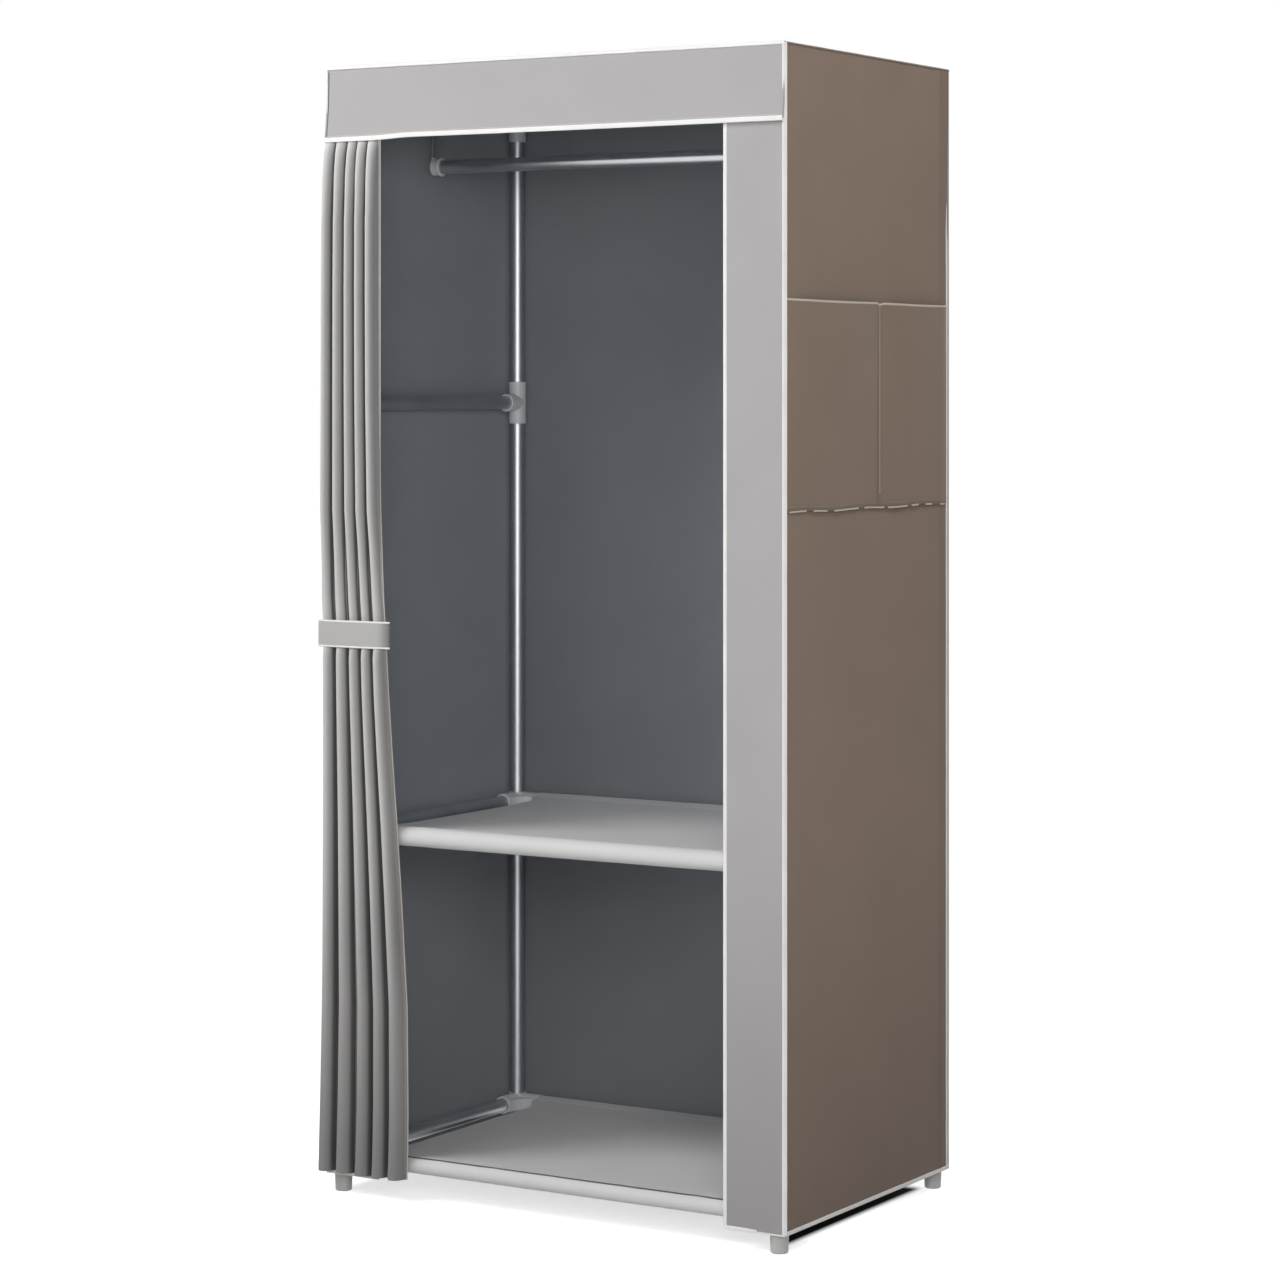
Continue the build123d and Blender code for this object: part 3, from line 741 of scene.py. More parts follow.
def sew_panel(name, node_name, side, look, outer, bulge, margin=PANEL_MARGIN, creases=()):
    """One panel of the cover, with its soft relief, in place of its CAD node. Creases run upright, each with a
    painted shade line and a painted shade band behind it.
    """
    near = [crease + away * MM for crease in creases for away in crease_steps_mm]
    points, u, v, width, height, out = panel_grid(node_name, side, look.cell, near)
    inside = held(u, v, width, height, margin)
    rough = relief(u, v, WIDE_BUMP, len(name)) * 0.7 + relief(u, v, SMALL_BUMP, len(name) + 1) * 0.3
    lift = inside * rough * look.relief + bulge(u, v, width, height)
    points = points + lift[..., None] * out
    # Painted shade: a dark line on each crease and a darker band behind it, where the side turns in behind the
    # back post.
    shade = np.zeros(u.shape)
    for crease in creases:
        line = np.clip(1 - np.abs(u - crease - CREASE_MIDDLE) / CREASE_HALF, 0, 1)
        shade = np.maximum(shade, np.maximum(0.27 * line, 0.16 * (u > crease)))
    # Painted shade that darkens the strips and the right side towards the floor.
    low_end_painted_shade = look.low * {"front": 1.0, "right": 1.4}.get(side, 0)
    shade = 1 - (1 - shade) * (1 - low_end_painted_shade * (1 - ease(v / LOW_SHADE_HEIGHT)))
    # Painted shade on the lining: darker away from the opening on the back, and darker on the whole left panel.
    inner_shade = look.inner * {"back": ease(u / width), "left": 0.55 + 0 * u}.get(side, 0 * u)
    made = cloth(name, points, PANEL_WALL, outer, "Lining", shade, inner_shade)[0]
    stand_in(made, node_name)


def back_turn(y, z):
    """How the right side rises over the back post and turns in behind it, below the top's seam."""
    post = POST_BACK_RIGHT[0].y
    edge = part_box("cover_right")[1].y
    climb = np.clip(1 - (post - y) / TURN_START, 0, 1) ** 2
    fall = np.clip((y - post) / (edge - post), 0, 1)
    below = ease((COVER_HIGH.z - z) / TURN_HEIGHT)
    return climb * TURN_LIFT - fall * TURN_FALL * below


class WARDROBE_OT_sew_cover(bpy.types.Operator):
    """Sew the top, back, side and strip panels of the cover"""
    bl_idname = "wardrobe.sew_cover"
    bl_label = "Sew cover"

    def execute(self, context):
        look = context.scene.wardrobe_cloth

        def hollow(u, v, width, height):
            inward = np.sin(math.pi * np.clip(u / width, 0, 1))
            upward = np.sin(math.pi * np.clip(v / height, 0, 1)) ** 0.4
            return -look.draw_in * inward * upward

        def right_side(u, v, width, height):
            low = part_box("cover_right")[0]
            return hollow(u, v, width, height) + back_turn(low.y + u, low.z + v)

        def sagging(u, v, width, height):
            inside = np.sin(math.pi * u / width) ** 0.6 * np.sin(math.pi * v / height) ** 0.6
            return -look.top_sag * inside

        def hanging(u, v, width, height):
            wave = np.sin(u / RIPPLE_PITCH + 1.3 * np.sin(v / RIPPLE_RISE))
            return wave * (1 - v / height) * ease(u / width * 3) * RIPPLE

        crease = POST_BACK_RIGHT[0].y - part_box("cover_right")[0].y - CREASE_BEFORE_POST
        sew_panel("top_panel", "cover_top", "top", look, "Side cloth", sagging)
        sew_panel("back_panel", "cover_back", "back", look, "Side cloth", hollow)
        sew_panel("left_panel", "cover_left", "left", look, "Side cloth", hollow)
        sew_panel("right_panel", "cover_right", "right", look, "Side cloth", right_side, creases=[crease])
        for side in ("left", "right"):
            name, node_name = side + "_strip", "front_strip_" + side
            sew_panel(name, node_name, "front", look, "Front cloth", hanging, STRIP_MARGIN)
        return {"FINISHED"}


class WARDROBE_OT_sew_valance(bpy.types.Operator):
    """Sew the valance, which hangs from the top's front edge and flares over the strips"""
    bl_idname = "wardrobe.sew_valance"
    bl_label = "Sew valance"

    cheek_step = 1 * MM
    billow_pitch = 95 * MM
    billow = 0.7 * MM
    bump_size = 120 * MM
    bump = 0.6 * MM
    stand_off = 1.8 * MM
    curtain_fade = 60 * MM
    curtain_droop = 2.2 * MM
    droop_size = 180 * MM
    droop = 0.5 * MM
    shade_line_from_side = 3.4 * MM
    seam_from_hem = 6 * MM

    def execute(self, context):
        look = context.scene.wardrobe_cloth
        low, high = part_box("valance")
        flare = PANEL_FRONT - low.y
        cheek = steps(PANEL_WALL + self.cheek_step, self.cheek_step)[:-1]
        turn = len(cheek)
        across = np.concatenate([
            np.full(turn, low.x), low.x + steps(high.x - low.x, look.cell), np.full(turn, high.x)
        ])
        depth = np.zeros(len(across))
        depth[:turn] = cheek[-1] + self.cheek_step - cheek
        depth[-turn:] = cheek + self.cheek_step
        face = np.ones(len(across))
        face[:turn] = 0
        face[-turn:] = 0
        up = steps(high.z - low.z, look.cell / 2)
        x, z = np.meshgrid(across, low.z + up)
        fall = 1 - (z - low.z) / (high.z - low.z)
        over_curtain = ease((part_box("curtain_pleat_5")[1].x - x) / self.curtain_fade)
        billow = np.sin((x - low.x) / self.billow_pitch) * self.billow
        billow = billow + relief(x, z, self.bump_size, 5) * self.bump
        forward = fall ** 2.4 * (flare + billow * face + self.stand_off)
        y = PANEL_FRONT + PANEL_WALL / 2 - forward + depth
        sag = over_curtain * self.curtain_droop + relief(x, x * 0, self.droop_size, 8) * self.droop
        points = np.stack([x, y, z - fall * sag], -1)
        made, front = cloth("valance_cloth", points, PANEL_WALL, "Front cloth", "Lining")
        stand_in(made, "valance")
        keep_tape("valance", points[0, turn:-turn], OUT["front"][0])
        # A dark tape along the seam at the valance's left end; its darkness is painted shade of the gap beside
        # the side panel.
        keep_tape("dark", front[1:-1, turn] + np.array([self.shade_line_from_side, 0, 0]), OUT["front"][0])
        inset = round(self.seam_from_hem / (look.cell / 2))
        keep_seam("cover", front[max(1, inset), turn + 1:-turn - 1])
        return {"FINISHED"}


def straight(start, end):
    """Points along a straight run."""
    start, end = np.asarray(start, float), np.asarray(end, float)
    share_of = steps(1.0, TAPE_CELL / max(np.linalg.norm(end - start), 1e-6))
    return start + (end - start) * share_of[:, None]


class WARDROBE_OT_sew_binding(bpy.types.Operator):
    """Bind the cover's edges with white tape"""
    bl_idname = "wardrobe.sew_binding"
    bl_label = "Sew binding"

    inset = 0.7 * MM
    back_inset = 1.3 * MM
    back_forward = 2.9 * MM
    turn_drop = 230 * MM
    turn_run = 60 * MM
    turn_inset = 5 * MM
    corner_thickness = 2.6 * MM
    rim_size = (3.2 * MM, 1.6 * MM)
    back_size = (4.4 * MM, 2.0 * MM)
    dark_size = (1.6 * MM, 0.6 * MM)

    def execute(self, context):
        look = context.scene.wardrobe_cloth
        x0, x1 = COVER_LOW.x + self.inset, COVER_HIGH.x - self.inset
        y0, y1 = PANEL_FRONT + self.inset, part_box("cover_back")[1].y - self.inset
        z0, z1 = COVER_LOW.z + self.inset, COVER_HIGH.z - self.inset
        diagonal = math.sqrt(0.5)
        turn = z1 - self.turn_drop
        for x, out in ((x0, -1), (x1, 1)):
            keep_tape("corner", straight((x, y0, z0), (x, y0, z1)), (out * diagonal, -diagonal, 0))
            inner, behind, far = x - out * self.back_inset, y1 - self.back_forward, x - out * self.turn_inset
            run = np.concatenate([
                straight((inner, behind, z0), (inner, behind, turn)),
                straight((far, y1, turn + self.turn_run), (far, y1, z1)),
            ])
            keep_tape("back", run, np.where(run[:, 2:] > turn + self.turn_run / 2, (0, 1, 0), (out, 0.2, 0)))
        ring = [(x0, y0), (x1, y0), (x1, y1), (x0, y1)]
        for k, side in enumerate(("front", "right", "back", "left")):
            start, end = ring[k], ring[(k + 1) % 4]
            rim = (OUT[side][0] + OUT["top"][0]) * diagonal
            keep_tape("corner" if side == "front" else "rim", straight((*start, z1), (*end, z1)), rim)
            if side != "front":
                keep_tape("edge", straight((*start, z0), (*end, z0)), OUT[side][0])
        for node_name, inner in (("front_strip_left", 1), ("front_strip_right", 0)):
            low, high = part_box(node_name)
            edge, outer = (low.x, high.x)[inner], (low.x, high.x)[1 - inner]
            y = (low.y + high.y) / 2
            keep_tape("edge", straight((edge, y, low.z), (edge, y, high.z)), OUT["front"][0])
            keep_tape("edge", straight((outer, y, low.z), (edge, y, low.z)), OUT["front"][0])
        for name, group, finish, width, thickness in (
            ("corner_binding", "corner", "Binding", look.corner_width, self.corner_thickness),
            ("rim_binding", "rim", "Rim binding", *self.rim_size),
            ("back_binding", "back", "Binding", *self.back_size),
            ("edge_binding", "edge", "Binding", look.tape_width, look.tape_thickness),
            ("valance_binding", "valance", "Binding", look.corner_width, look.tape_thickness),
        ):
            made = sew_tape(name, group, finish, width, thickness, "white_binding")
            if group == "corner":
                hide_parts("white_binding")
        # Lay the painted shade line down the valance's left end.
        sew_tape("dark_seam", "dark", "Dark thread", *self.dark_size, "front_fabric")
        sew_stitches(context, "cover_stitches", "cover", "Binding")
        return {"FINISHED"}


class WARDROBE_OT_sew_pockets(bpy.types.Operator):
    """Sew the two open pockets on the right side"""
    bl_idname = "wardrobe.sew_pockets"
    bl_label = "Sew pockets"

    cell = 6 * MM
    before_back = 4.5 * MM
    off_side = 0.3 * MM
    pucker_pitch = 9 * MM
    pucker_height = 14 * MM
    pucker = 0.5 * MM
    bump_size = 70 * MM
    bump = 0.7 * MM
    notch = 2.6 * MM
    notch_half = 5 * MM
    foot_pitch = 26 * MM
    foot_wave = 0.8 * MM
    shade_before = 4 * MM
    foot_shade_height = 7 * MM
    trim_size = (3.0 * MM, 1.8 * MM)
    divide_size = (1.8 * MM, 2.2 * MM)
    foot_size = (2.2 * MM, 1.2 * MM)

    def execute(self, context):
        look = context.scene.wardrobe_pocket
        low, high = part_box("side_pocket")
        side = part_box("cover_right")[1]
        width, height = min(high.y, side.y - self.before_back) - low.y, high.z - low.z
        divide = width * look.divide
        front_part = steps(divide, self.cell)
        across = np.concatenate([front_part, divide + steps(width - divide, self.cell)[1:]])
        u, v = np.meshgrid(across, steps(height, self.cell))
        local = np.where(u <= divide, u / divide, (u - divide) / (width - divide))
        bow = np.clip(np.sin(math.pi * local), 0, 1) ** 0.75
        rise = v / height
        reach = look.foot_reach + (look.mouth_reach - look.foot_reach) * ease(rise) ** 1.1
        pucker = np.sin(u / self.pucker_pitch) * np.exp(-v / self.pucker_height) * self.pucker
        uneven = relief(u, v, self.bump_size, 31) * self.bump * bow
        x = side.x + look.thickness / 2 + self.off_side + bow * reach + pucker * bow + uneven
        x = x + back_turn(low.y + u, low.z + v)
        notch = self.notch * np.exp(-(((u - divide) / self.notch_half) ** 2))
        sag = (bow * look.mouth_sag + notch) * rise ** 6
        foot = np.sin(u / self.foot_pitch) * self.foot_wave * (1 - rise) ** 8
        points = np.stack([x, low.y + u, low.z + v - sag + foot], -1)
        # Painted shade beside the divide seam and along the pocket's foot.
        divide_painted_shade = np.exp(-(((u - divide + self.shade_before) / self.notch_half) ** 2)) * 0.3
        shade = np.maximum(divide_painted_shade, np.clip(1 - v / self.foot_shade_height, 0, 1) * 0.4)
        made, front = cloth("pocket_cloth", points, look.thickness, "Side cloth", "Lining", shade)
        stand_in(made, "side_pocket")
        out = OUT["right"][0]
        keep_tape("pocket", points[-1], out)
        keep_seam("pocket", front[1, 1:-1])
        keep_tape("divide", points[3:, len(front_part) - 1] + np.array(out) * self.off_side, out)
        start = 1
        for run, gap in np.random.default_rng(6).uniform((4, 1), (13, 4), (24, 2)).astype(int):
            end = min(start + run, points.shape[1] - 1)
            if end - start > 2:
                keep_tape("pocket_foot", front[0, start:end], out)
            start = end + gap
        sew_tape("pocket_trim", "pocket", "Pocket trim", *self.trim_size, "side_fabric")
        sew_tape("pocket_divide", "divide", "Pocket seam", *self.divide_size, "side_fabric")
        sew_tape("pocket_foot_trim", "pocket_foot", "Pocket trim", *self.foot_size, "side_fabric")
        sew_stitches(context, "pocket_stitches", "pocket", "Pocket seam")
        return {"FINISHED"}


def sleeve_path(look, radius):
    """The way of the cloth round a front tube and into its seam, about the tube's axis, as (back, up)."""
    seam = np.array([look.sleeve, look.sheet_rise])
    apart = math.acos(radius / np.linalg.norm(seam))
    toward = math.atan2(seam[1], seam[0])
    turn = np.linspace(toward - apart, toward + apart - 2 * math.pi, 40)
    roll = radius * np.stack([np.cos(turn), np.sin(turn)], -1)
    under = seam - np.array([0, look.thickness * 1.05])
    lower = np.linspace(under, roll[0], 4)[:-1]
    upper = np.linspace(roll[-1], seam, 6)[1:]
    return np.concatenate([lower, roll, upper])


def shelf_path(low, high, look, cell):
    """The whole way of a shelf's cloth: front sleeve, sheet and back sleeve, as (y, z)."""
    radius = (high.z - low.z) / 2 - look.thickness / 2
    axis = (high.z + low.z) / 2
    front, back = low.y + (high.z - low.z) / 2, high.y - (high.z - low.z) / 2
    first = sleeve_path(look, radius)
    last = first[::-1] * np.array([-1, 1])
    level = steps(back - front - 2 * look.sleeve, cell)[1:-1] + front + look.sleeve
    sheet = np.stack([level, np.full(len(level), axis + look.sheet_rise)], -1)
    return np.concatenate([first + (front, axis), sheet, last + (back, axis)]), len(first), front, back


class WARDROBE_OT_stretch_shelves(bpy.types.Operator):
    """Stretch the two fabric shelves between their tubes"""
    bl_idname = "wardrobe.stretch_shelves"
    bl_label = "Stretch shelves"

    cell = 9 * MM
    crease_sizes = (50 * MM, 130 * MM)
    crease = 0.8 * MM
    gather_sizes = (16 * MM, 50 * MM)
    gather_reach = 9 * MM
    gather = 0.7 * MM
    cut_run = 42 * MM
    roll_step = 4 * MM
    roll_size = 35 * MM
    roll = 0.3 * MM
    stitch_lift = 0.2 * MM
    shade_line_degrees = 68
    shade_line_size = 28 * MM
    shade_line_wave = 0.6 * MM
    dark_size = (3.0 * MM, 0.7 * MM)

    def execute(self, context):
        look = context.scene.wardrobe_shelf
        for seed, (name, node_name, tubes) in enumerate((
            ("middle_shelf", "shelf_cloth_middle", ["shelf_tube_front", "shelf_tube_back"]),
            ("base_shelf", "shelf_cloth_bottom", ["bottom_tube_front", "bottom_tube_back"]),
        )):
            low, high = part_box(node_name)
            path, roll_end, front, back = shelf_path(low, high, look, self.cell)
            x, row = np.meshgrid(low.x + steps(high.x - low.x, self.cell), np.arange(len(path)))
            y, z = path[row, 0], path[row, 1]
            first, last = front + look.sleeve, back - look.sleeve
            along = np.clip((y - first) / (last - first), 0, 1)
            sideways = (x - low.x) / (high.x - low.x)
            on_sheet = (row >= roll_end - 1) & (row <= len(path) - roll_end)
            sag = np.sin(math.pi * along) ** 0.8 * (0.55 + 0.45 * np.sin(math.pi * sideways))
            small, wide = self.crease_sizes
            creases = relief(x, y * 0.35, small, 40 + seed) * 0.5 + relief(x, y, wide, 44 + seed)
            fall = sag * look.sag - creases * np.sin(math.pi * along) * self.crease
            z = np.where(on_sheet, z - fall, z)
            near = np.exp(-np.minimum(np.abs(y - first), np.abs(y - last)) / self.gather_reach)
            small, wide = self.gather_sizes
            gather = relief(x, x * 0, small, 54 + seed) * 0.7 + relief(x, x * 0, wide, 56 + seed)
            z = z + gather * near * self.gather
            centre = (low.x + high.x) / 2
            drawn = ease(np.minimum(y - first, last - y) / self.cut_run)
            drawn = drawn * (0.94 + 0.06 * np.sin(math.pi * along))
            x = x - 2 * look.hollow * (x - centre) / (high.x - low.x) * drawn
            rolled = relief(x, row * self.roll_step, self.roll_size, 50 + seed) * self.roll * (1 - on_sheet)
            points = np.stack([x, y - rolled * (y < front) + rolled * (y > back), z], -1)
            made, outside = cloth(name, points, look.thickness, "Shelf cloth", "Shelf cloth")
            stand_in(made, node_name)
            for seam in (roll_end - 1, len(path) - roll_end):
                keep_seam("shelf", outside[seam, 1:-1] + np.array([0, 0, self.stitch_lift]))
            # On the base shelf, a dark wavy tape along the seam at the front roll's top rear; its darkness is
            # painted shade where the sheet meets the roll.
            if name == "base_shelf":
                axis = (low.z + high.z) / 2
                climb = np.degrees(np.arctan2(path[:roll_end, 1] - axis, front - path[:roll_end, 0]))
                line = outside[int(np.argmin(np.abs(climb - self.shade_line_degrees))), 1:-1].copy()
                line[:, 1] += relief(line[:, 0], line[:, 0] * 0, self.shade_line_size, 58) * self.shade_line_wave
                lean = math.radians(self.shade_line_degrees)
                keep_tape("shelf_dark", line, (0, -math.cos(lean), math.sin(lean)))
        sew_stitches(context, "shelf_stitches", "shelf", "Binding")
        sew_tape("shelf_dark_seam", "shelf_dark", "Dark thread", *self.dark_size, "shelf_fabric")
        return {"FINISHED"}


# The gathered curtain. Heights are shares from hem to valance; the edges stand off the cover's left edge.
curtain_height_shares = (
    0.000, 0.025, 0.068, 0.165, 0.265, 0.340, 0.405, 0.460, 0.500,
    0.522, 0.555, 0.640, 0.745, 0.850, 0.925, 0.965, 0.985, 1.000,
)
curtain_left_mm = (
    -8.6, -8.2, -6.6, -3.6, -2.2, -1.4, -0.8, -0.6, -1.4,
    -3.6, -6.6, -5.4, -3.6, -2.8, -2.0, -1.0, -0.6, 0.0,
)
curtain_right_mm = (
    132.5, 133.6, 134.2, 132.8, 124.0, 116.4, 109.0, 103.4, 100.0,
    98.6, 95.0, 90.2, 87.8, 87.2, 87.2, 87.2, 87.2, 87.2,
)
curtain_reach_shares = (
    1.02, 1.00, 0.98, 0.96, 0.93, 0.90, 0.88, 0.86, 0.74, 0.0, 0.0, 0.80, 0.90, 0.95, 0.92, 0.78, 0.58, 0.07,
)
fold_gap_shares = (
    0.13, 0.14, 0.15, 0.16, 0.16, 0.16, 0.16, 0.15, 0.14, 0.12, 0.13, 0.15, 0.16, 0.17, 0.16, 0.08, 0.04, 0.01,
)
fold_top_shares = (0.0, 0.21, 0.425, 0.61, 0.80, 1.0)
fold_hem_shares = (0.0, 0.20, 0.425, 0.625, 0.80, 1.0)

FOLD_LAYER = 1.7 * MM
FOLD_OVERLAP = 3 * MM
FOLD_RETURN = 1.6 * MM
FOLD_RISE = 1.4 * MM
HIDDEN_POINTS = 22


def fold_section(width, reach, gap_share, first):
    """One fold from groove to groove, as places across and out, with its hidden layer behind it."""
    layer = np.minimum(FOLD_LAYER, reach * 0.22)
    lean = width * gap_share
    crown = np.minimum(width * 0.5, reach * 0.85)
    runs = []
    if first:
        runs.append(np.linspace((0, 0), (lean, reach - crown), 8)[:-1])
    else:
        far = width - FOLD_OVERLAP
        runs.append(np.linspace((0, 0), (far, 0), 9)[:-1])
        turn = np.radians(np.linspace(-90, 90, 7))
        runs.append(np.stack([far + np.cos(turn) * layer / 2, layer / 2 + np.sin(turn) * layer / 2], -1)[:-1])
        runs.append(np.linspace((far, layer), (FOLD_RETURN, layer), 9)[:-1])
        runs.append(np.linspace((FOLD_RISE, layer * 1.1), (lean, reach - crown), 7)[:-1])
    arc = np.radians(np.linspace(180, 0, 17))
    half = width / 2 - lean
    skew = -0.04 * width * np.sin(arc)
    runs.append(np.stack([width / 2 + half * np.cos(arc) + skew, reach - crown + crown * np.sin(arc)], -1)[:-1])
    runs.append(np.linspace((width - lean, reach - crown), (width, 0), 8))
    return np.concatenate(runs)


def fold_shade(look, section, width, reach, number, level):
    """How much painted shade darkens a fold's cloth: in its groove, on its side turned from the light and near
    the floor.
    """
    across, out = section[:, 0], section[:, 1]
    deep = ease((0.74 - out / reach) / 0.34) * look.groove
    open_side = (across < width / 2) if number == 0 else (across > width / 2) & (number == 4)
    pulled = np.clip(np.arange(len(section)) / HIDDEN_POINTS, 0, 1) if number else np.ones(len(section))
    deep = deep * (1 - 0.45 * np.sin(math.pi * pulled))
    turned = np.where(pulled < 1, 1 - pulled, ease((across / width - 0.08) / 0.85))
    turned = turned * look.turned * float(ease((level - 0.04) / 0.22))
    low = look.low * (1 - float(ease(level / 0.37)))
    return 1 - (1 - np.where(open_side, 0, deep)) * (1 - turned) * (1 - low)


class WARDROBE_OT_hang_curtain(bpy.types.Operator):
    """Hang the gathered curtain, one fold to each pleat, on its rod"""
    bl_idname = "wardrobe.hang_curtain"
    bl_label = "Hang curtain"

    below_valance = 1 * MM
    wave_height = 210 * MM
    wave_apart = 310 * MM
    sway = 0.9 * MM
    hem_extra = 0.5 * MM
    edge_forward = 0.6 * MM
    edge_size = (1.6 * MM, 1.4 * MM)

    def execute(self, context):
        look = context.scene.wardrobe_curtain
        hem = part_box("curtain_pleat_1")[0].z
        height = VALANCE_BOTTOM - self.below_valance - hem
        rod = (ROD_BOX[0] + ROD_BOX[1]) / 2
        levels = steps(height, look.row) / height
        over = np.radians(np.linspace(0, 200, 10))
        for number in range(5):
            rows = []
            weights = []
            shades = []
            for level in levels:
                left, right, reach_share, gap_share = (
                    float(np.interp(level, curtain_height_shares, table))
                    for table in (curtain_left_mm, curtain_right_mm, curtain_reach_shares, fold_gap_shares)
                )
                shares = [
                    top + (bottom - top) * (1 - float(ease(level)))
                    for top, bottom in zip(fold_top_shares, fold_hem_shares)
                ]
                left, right = COVER_LOW.x + left * MM, COVER_LOW.x + right * MM
                low_x = left + (right - left) * shares[number]
                width = (right - left) * (shares[number + 1] - shares[number])
                z = hem + level * height
                wave = float(relief(np.array(z), np.array(number * self.wave_apart), self.wave_height, 60))
                reach = look.waist_reach + (look.reach - look.waist_reach) * max(reach_share, 0)
                if level > curtain_height_shares[-4]:
                    reach = look.reach * reach_share
                reach *= 1 + 0.05 * wave * min(1, reach_share)
                section = fold_section(width, reach, gap_share, number == 0)
                sway = self.sway * wave * np.clip(section[:, 1] / look.reach, 0, 1)
                y = CURTAIN_BACK - look.thickness / 2 - section[:, 1]
                rows.append(np.stack([low_x + section[:, 0] + sway, y, np.full(len(y), z)], -1))
                shades.append(fold_shade(look, section, width, reach, number, level))
                run = np.linalg.norm(np.diff(section, axis=0), axis=1).cumsum()
                weights.append(np.concatenate([[0], run / run[-1]]))
            header = rows[-1]
            radius = rod.y - CURTAIN_BACK + look.thickness / 2 + (CURTAIN_BACK - header[:, 1]) * 0.3
            for angle in over:
                y = rod.y - radius * math.cos(angle)
                z = rod.z + radius * math.sin(angle)
                rows.append(np.stack([header[:, 0], y, z], -1))
                weights.append(weights[-1])
                shades.append(shades[-1])
            points = np.array(rows)
            thickness = np.full(points.shape[:2], look.thickness)
            thickness[points[..., 2] < hem + look.hem_height] += self.hem_extra
            name = "curtain_fold_" + str(number + 1)
            made = cloth(name, points, thickness, "Curtain cloth", "Curtain cloth", np.array(shades))[0]
            self.follow(made, number, np.array(weights))
            node_name = "curtain_pleat_" + str(number + 1)
            stand_in(made, node_name, None)
        edge = points[:len(levels), -1] + np.array(OUT["front"][0]) * self.edge_forward
        keep_tape("curtain", edge, (1, 0, 0))
        sew_tape("curtain_edge", "curtain", "Pocket trim", *self.edge_size, "curtain_fabric", "pleat_5")
        return {"FINISHED"}

    @staticmethod
    def follow(piece, number, weights):
        """Let the last fold ride on its pleat's body, and bake the others' place into their meshes."""
        if number == 4:
            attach(piece, "pleat_5")
            return
        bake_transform(piece)


class WARDROBE_OT_tie_curtain(bpy.types.Operator):
    """Sew the tieback band round the gathered curtain"""
    bl_idname = "wardrobe.tie_curtain"
    bl_label = "Tie curtain"

    left_corner = 4 * MM
    bow = 2.6 * MM
    row = 3 * MM
    bump_size = 30 * MM
    bump = 0.3 * MM
    shade_start = 19 * MM
    shade_run = 20 * MM
    tape_size = (2.6 * MM, 2.2 * MM)

    def execute(self, context):
        look = context.scene.wardrobe_band
        low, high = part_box("tieback")
        half = look.thickness / 2
        left, right = low.x + half - look.loop, high.x - half
        front = low.y + half
        corner, tight, bow = self.left_corner, look.corner, self.bow
        quarter = np.radians(np.linspace(0, 90, 7))
        short, long = 1 - np.cos(quarter), 1 - np.sin(quarter)
        first = np.stack([left + corner * short, front + bow + corner * long], -1)
        last = np.stack([right - tight * long, front + bow + tight * short], -1)
        across = np.linspace(first[-1], last[0], 24)[1:-1]
        middle = (across[:, 0] - left - corner) / (right - left - corner - tight)
        across[:, 1] -= bow * np.sin(math.pi * middle)
        start = np.linspace((low.x + half, high.y), first[0], 5)[:-1]
        path = np.concatenate([start, first, across, last])
        tall = high.z - low.z - 2 * look.trim
        column, height = np.meshgrid(np.arange(len(path)), steps(tall, self.row))
        points = np.stack([path[column, 0], path[column, 1], low.z + look.trim + height], -1)
        puff = np.sin(math.pi * (height / tall)) ** 0.5
        points[..., 1] -= (relief(points[..., 0], height, self.bump_size, 71) * self.bump) * puff
        thickness = look.thickness * (0.8 + 0.5 * puff)
        # Painted shade on the band's loose end, where it turns away from the light.
        shade = ease((points[..., 0] - right + self.shade_start) / self.shade_run) * 0.55
        made, outside = cloth("tieback_band", points, thickness, "Band cloth", "Band cloth", shade)
        stand_in(made, "tieback", "tieback")
        normals = grid_normals(points)
        for row in (0, -1):
            keep_tape("band", points[row], normals[row])
        for row in (2, -3):
            keep_seam("band", outside[row, len(quarter):-1])
        sew_tape("tieback_binding", "band", "Binding", *self.tape_size, "tieback_fabric", "tieback")
        sew_stitches(context, "tieback_stitches", "band", "Band cloth", "tieback")
        return {"FINISHED"}


# The stage. Each lamp has its place and its aim in metres, its side and the name of its power.
lamps_m = (
    ("Key lamp", (-1.7, -1.9, 2.4), (0, 0, 1.4), 1.3, "key_power"),
    ("Opening lamp", (1.9, -2.5, 1.5), (-0.2, 0.1, 0.8), 1.0, "fill_power"),
    ("Low lamp", (1.3, -3.0, 0.9), (-0.2, 0.1, 0.85), 1.0, "low_power"),
    ("Top lamp", (-0.6, -2.0, 3.0), (0, 0, 1.2), 1.0, "top_power"),
    ("Side lamp", (1.6, 0.0, 3.0), (0.35, 0.0, 1.2), 0.8, "side_power"),
    ("Back lamp", (-0.6, 3.2, 2.2), (-0.1, 0, 0.8), 1.6, "back_power"),
)


def area_lamp(name, place, aim, side, power):
    """A large soft square lamp that looks at a point."""
    data = bpy.data.lights.new(name, "AREA")
    data.size = side
    data.energy = power
    lamp = bpy.data.objects.new(name, data)
    lamp.location = place
    lamp.rotation_mode = "QUATERNION"
    lamp.rotation_quaternion = (Vector(aim) - Vector(place)).to_track_quat("-Z", "Y")
    bpy.context.scene.collection.objects.link(lamp)


def seen_directly(tree):
    """1 for camera, mirror and clear-glass rays, and 0 for rays that light the object."""
    path = node(tree, "ShaderNodeLightPath").outputs
    glossy = maths(tree, "MAXIMUM", path["Is Camera Ray"], path["Is Glossy Ray"])
    return maths(tree, "MAXIMUM", glossy, path["Is Transmission Ray"])


